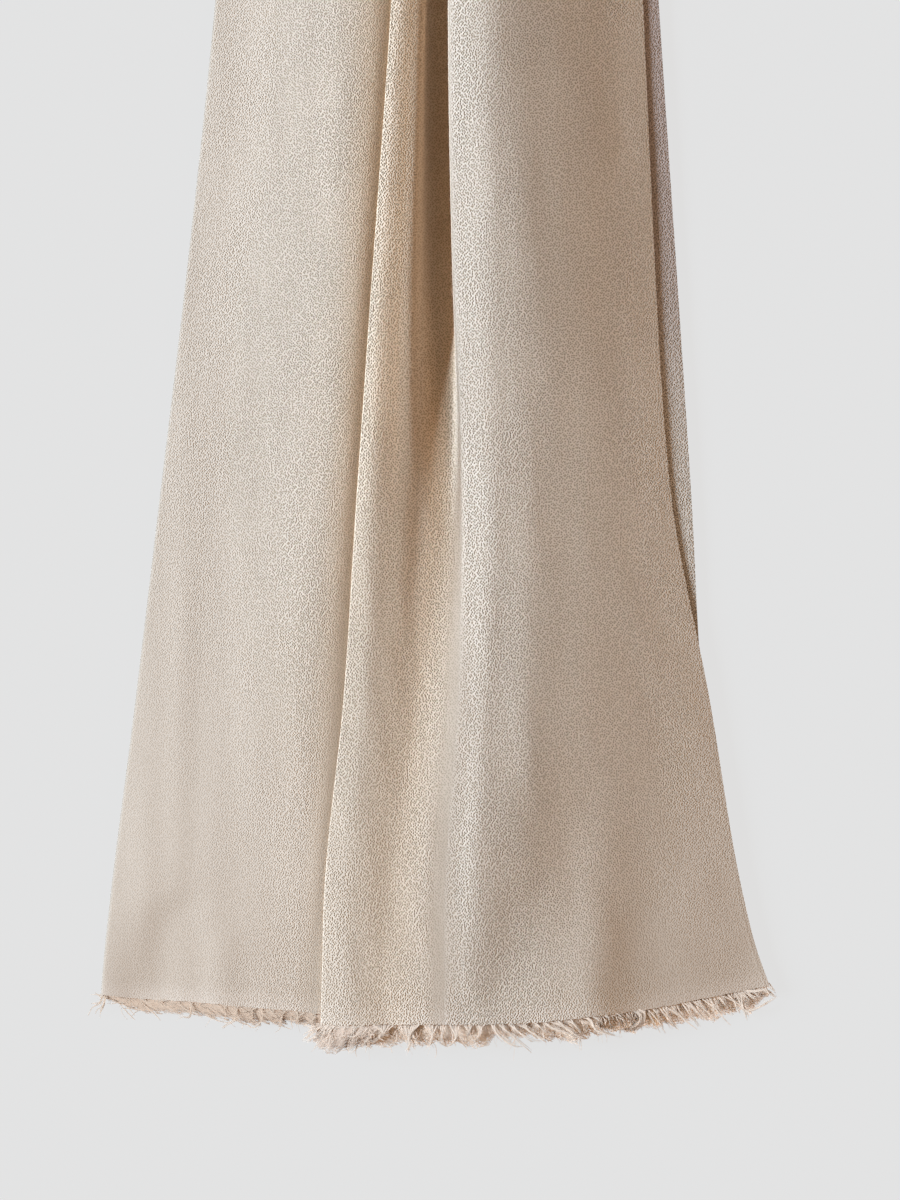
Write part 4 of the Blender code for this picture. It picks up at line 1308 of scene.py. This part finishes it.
class FringeSettings(bpy.types.PropertyGroup):
    """The raveled ends."""

    colour: colour_setting("Colour", "The yarns' colour", (0.80, 0.65, 0.535))
    nap_colour: colour_setting("Nap colour", "The yarns' nap", (0.95, 0.87, 0.8))
    thickness: length_setting("Yarn thickness", "How broad a yarn is", 0.0006)
    fullness: share_setting("Fullness", "How many yarns there are", 1.0, 3.0)
    sheen: share_setting("Sheen", "How soft the yarns look", 0.1)
    flatness: share_setting("Flatness", "How much broader than tall a yarn is", 4.0, 8.0)


class StageSettings(bpy.types.PropertyGroup):
    """The ground, the lights and the camera."""

    floor_colour: colour_setting("Floor colour", "The ground's colour", (0.77, 0.77, 0.77))
    floor_shade: share_setting("Floor shade", "How much of its light the floor takes", 0.06)
    floor_glow: share_setting("Floor glow", "How much light the floor gives", 0.94, 2.0)
    key_strength: share_setting("Key strength", "The key light's strength", 9.5, 20.0)
    key_elevation: angle_setting("Key elevation", "Its height over the horizon", 15)
    key_azimuth: angle_setting("Key azimuth", "Where it stands, from +X", 172)
    key_spread: angle_setting("Key spread", "How broad the key light looks", 22)
    key_colour: colour_setting("Key colour", "The key light's colour", (0.63, 0.815, 0.99))
    fill_strength: share_setting("Fill strength", "The light from all round", 1.41, 5.0)
    fill_colour: colour_setting("Fill colour", "Its colour", (1.0, 0.735, 0.515))
    camera_distance: length_setting("Camera distance", "Camera above the shawl", 3.0)


class ShawlSettings(bpy.types.PropertyGroup):
    """All that a user would change."""

    cloth: bpy.props.PointerProperty(type=ClothSettings)
    fringe: bpy.props.PointerProperty(type=FringeSettings)
    stage: bpy.props.PointerProperty(type=StageSettings)


# ---- operators
def side_sheet():
    return Sheet(SIDE_LINES, SIDE_CREASES, SIDE_SHARES, seed=3)


def front_sheet():
    return Sheet(FRONT_LINES, FRONT_CREASES, FRONT_SHARES, seed=5)


def back_sheet():
    return Sheet(behind_lines(), (), BACK_SHARES, seed=7)


class SHAWL_OT_hidden_plies(bpy.types.Operator):
    """The folded plies that nothing shows of but their edges"""

    bl_idname = "shawl.hidden_plies"
    bl_label = "Hidden plies"

    def execute(self, context):
        x, y, z = hidden_grid()
        mesh, row, column = grid_mesh("hidden_plies", x, y, z)
        lay_cloth_map(mesh, row, column, x - MAP_ASIDE, y - HEM_Y)
        close_below(mesh)
        mesh.shade_smooth()
        mesh.set_sharp_from_angle(angle=math.radians(CRISP_HIDDEN))
        material = crepe_material("hidden_plies", context.scene.shawl.cloth)
        obj = add_object("hidden_plies", mesh, material)
        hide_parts("hidden_layers")
        return {"FINISHED"}


class SHAWL_OT_side_stretch(bpy.types.Operator):
    """The left panel, from the lengthwise fold to under the first roll, with its fringe"""

    bl_idname = "shawl.side_stretch"
    bl_label = "Side stretch"

    def execute(self, context):
        settings = context.scene.shawl
        sheet = side_sheet()
        material = crepe_material("side_crepe", settings.cloth)
        cloth = add_cloth("side_crepe", sheet, material, settings.cloth)
        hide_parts("side_stretch")
        hem, size = sheet.hem(), settings.fringe
        fringe = add_fringe("side_yarns", "fringe_side", hem, SIDE_FRINGE, size)
        felt = add_felt("side_felt", hem, SIDE_FELT, size)
        return {"FINISHED"}


class SHAWL_OT_front_stretch(bpy.types.Operator):
    """The front panel with its two rolls and the valley, and its fringe"""

    bl_idname = "shawl.front_stretch"
    bl_label = "Front stretch"

    def execute(self, context):
        settings = context.scene.shawl
        sheet = front_sheet()
        material = crepe_material("front_crepe", settings.cloth, FRONT_LOOSE)
        cloth = add_cloth("front_crepe", sheet, material, settings.cloth)
        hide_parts("front_stretch")
        hem, size = sheet.hem(), settings.fringe
        fringe = add_fringe("front_yarns", "fringe_front", hem, FRONT_FRINGE, size)
        felt = add_felt("front_felt", hem, FRONT_FELT, size)
        return {"FINISHED"}


class SHAWL_OT_back_stretch(bpy.types.Operator):
    """The ply behind, whose selvedge shows at the right, and its fringe"""

    bl_idname = "shawl.back_stretch"
    bl_label = "Back stretch"

    def execute(self, context):
        settings = context.scene.shawl
        sheet = back_sheet()
        material = crepe_material(
            "back_crepe", settings.cloth, FRONT_LOOSE, BACK_TINT, BEHIND_SHADE,
        )
        cloth = add_cloth("back_crepe", sheet, material, settings.cloth)
        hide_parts("back_stretch")
        hem, size = sheet.hem(), settings.fringe
        fringe = add_fringe("back_yarns", "fringe_back", hem, BACK_FRINGE, size)
        felt = add_felt("back_felt", hem, BACK_FELT, size)
        return {"FINISHED"}


class SHAWL_OT_under_fringe(bpy.types.Operator):
    """The fringe of the hidden plies"""

    bl_idname = "shawl.under_fringe"
    bl_label = "Under fringe"

    def execute(self, context):
        settings = context.scene.shawl.fringe
        above = front_sheet().hem()
        x = np.linspace(UNDER_FROM, UNDER_TO, UNDER_PLACES)
        y, z = hem_at(above, x)
        hem = np.stack([x, y + UNDER_SETBACK, z - UNDER_DROP], 1)
        add_fringe("under_yarns", "fringe_under", hem, UNDER_FRINGE, settings)
        add_felt("under_felt", hem, UNDER_FELT, settings)
        return {"FINISHED"}


class SHAWL_OT_fuzz(bpy.types.Operator):
    """Loose hairs along the rolled edges"""

    bl_idname = "shawl.fuzz"
    bl_label = "Fuzz"

    def execute(self, context):
        settings = context.scene.shawl.fringe
        rng = random.Random(FUZZ_SEED)
        front = front_sheet()
        names = [line.name for line in FRONT_LINES]
        starts = [0, *np.cumsum([line.cells for line in FRONT_LINES]).tolist()]
        last = front.x.shape[0] - FOLD_TURNS - FUZZ_END
        hairs = []
        for edge in FUZZ:
            column = starts[names.index(edge.line)]
            columns = (column - edge.before, column + edge.after)
            rows_range = (edge.first_row, last)
            hairs += fuzz_hairs(front, columns, rows_range, edge.hairs, rng, edge.length)
        mesh = yarn_mesh("fuzz", hairs, FUZZ_THICKNESS * MM)
        add_object("fuzz", mesh, yarn_material("fuzz", settings))
        return {"FINISHED"}


class SHAWL_OT_stage(bpy.types.Operator):
    """The pale ground, the lights and the camera above"""

    bl_idname = "shawl.stage"
    bl_label = "Stage"

    def execute(self, context):
        settings = context.scene.shawl.stage
        scene = context.scene
        bm = bmesh.new()
        bmesh.ops.create_grid(bm, x_segments=1, y_segments=1, size=FLOOR_SIZE / 2)
        mesh = bpy.data.meshes.new("floor")
        bm.to_mesh(mesh)
        bm.free()
        mesh.materials.append(floor_material(settings))
        floor = add_new("floor", mesh)
        floor.location.z = -FLOOR_BELOW * MM
        self.add_key(settings)
        self.add_fill(scene, settings)
        self.add_camera(scene, settings)
        scene.view_settings.view_transform = "Standard"
        return {"FINISHED"}

    def add_key(self, settings):
        """The low light from the left."""
        light = bpy.data.lights.new("key", "SUN")
        light.energy = settings.key_strength
        light.angle = settings.key_spread
        light.color = settings.key_colour
        key = add_new("key", light)
        level = math.cos(settings.key_elevation)
        way = Vector((
            math.cos(settings.key_azimuth) * level,
            math.sin(settings.key_azimuth) * level,
            math.sin(settings.key_elevation),
        ))
        key.rotation_euler = way.to_track_quat("Z", "Y").to_euler()

    def add_fill(self, scene, settings):
        """Light from all round, less of it from straight above."""
        world = bpy.data.worlds.new("studio")
        world.use_nodes = True
        nodes = Nodes(world.node_tree)
        height = nodes.axis(nodes.add("TexCoord", out="Generated"), "Z")
        low, high = (math.sin(math.radians(angle)) for angle in FILL_FADE)
        strength = (1 - height.within(low, high)) * settings.fill_strength
        ground = world.node_tree.nodes["Background"]
        nodes.join(ground, {"Color": opaque(settings.fill_colour), "Strength": strength})
        scene.world = world

    def add_camera(self, scene, settings):
        """The camera, straight above the end of the shawl with the fringe."""
        camera = bpy.data.cameras.new("camera")
        camera.sensor_width = SENSOR
        camera.lens = SENSOR * settings.camera_distance / (VIEW_HEIGHT * MM)
        camera.clip_end = VIEW_FARTHEST
        holder = add_new("camera", camera)
        x, up = VIEW_CENTRE
        height = settings.camera_distance + VIEW_LEVEL * MM
        holder.location = (x * MM, (HEM_Y + up) * MM, height)
        scene.camera = holder


class SHAWL_PT_panel(bpy.types.Panel):
    """Sizes, colours and pieces of the shawl"""

    bl_idname = "SHAWL_PT_panel"
    bl_label = "Pashmina shawl"
    bl_space_type = "VIEW_3D"
    bl_region_type = "UI"
    bl_category = "Shawl"

    def draw(self, context):
        settings = context.scene.shawl
        for group in (settings.cloth, settings.fringe, settings.stage):
            box = self.layout.box()
            for key in group.bl_rna.properties.keys():
                if key not in ("rna_type", "name"):
                    box.prop(group, key)
        for operator in PIECES:
            self.layout.operator(operator.bl_idname)


PIECES = (
    SHAWL_OT_stage, SHAWL_OT_hidden_plies, SHAWL_OT_side_stretch, SHAWL_OT_front_stretch,
    SHAWL_OT_back_stretch, SHAWL_OT_under_fringe, SHAWL_OT_fuzz,
)
CLASSES = (
    ClothSettings, FringeSettings, StageSettings, ShawlSettings, *PIECES, SHAWL_PT_panel,
)


def register():
    for cls in CLASSES:
        bpy.utils.register_class(cls)
    bpy.types.Scene.shawl = bpy.props.PointerProperty(type=ShawlSettings)


def unregister():
    del bpy.types.Scene.shawl
    for cls in reversed(CLASSES):
        bpy.utils.unregister_class(cls)


def main():
    register()
    for operator in PIECES:
        group, name = operator.bl_idname.split(".")
        getattr(getattr(bpy.ops, group), name)()


if __name__ == "__main__":
    main()
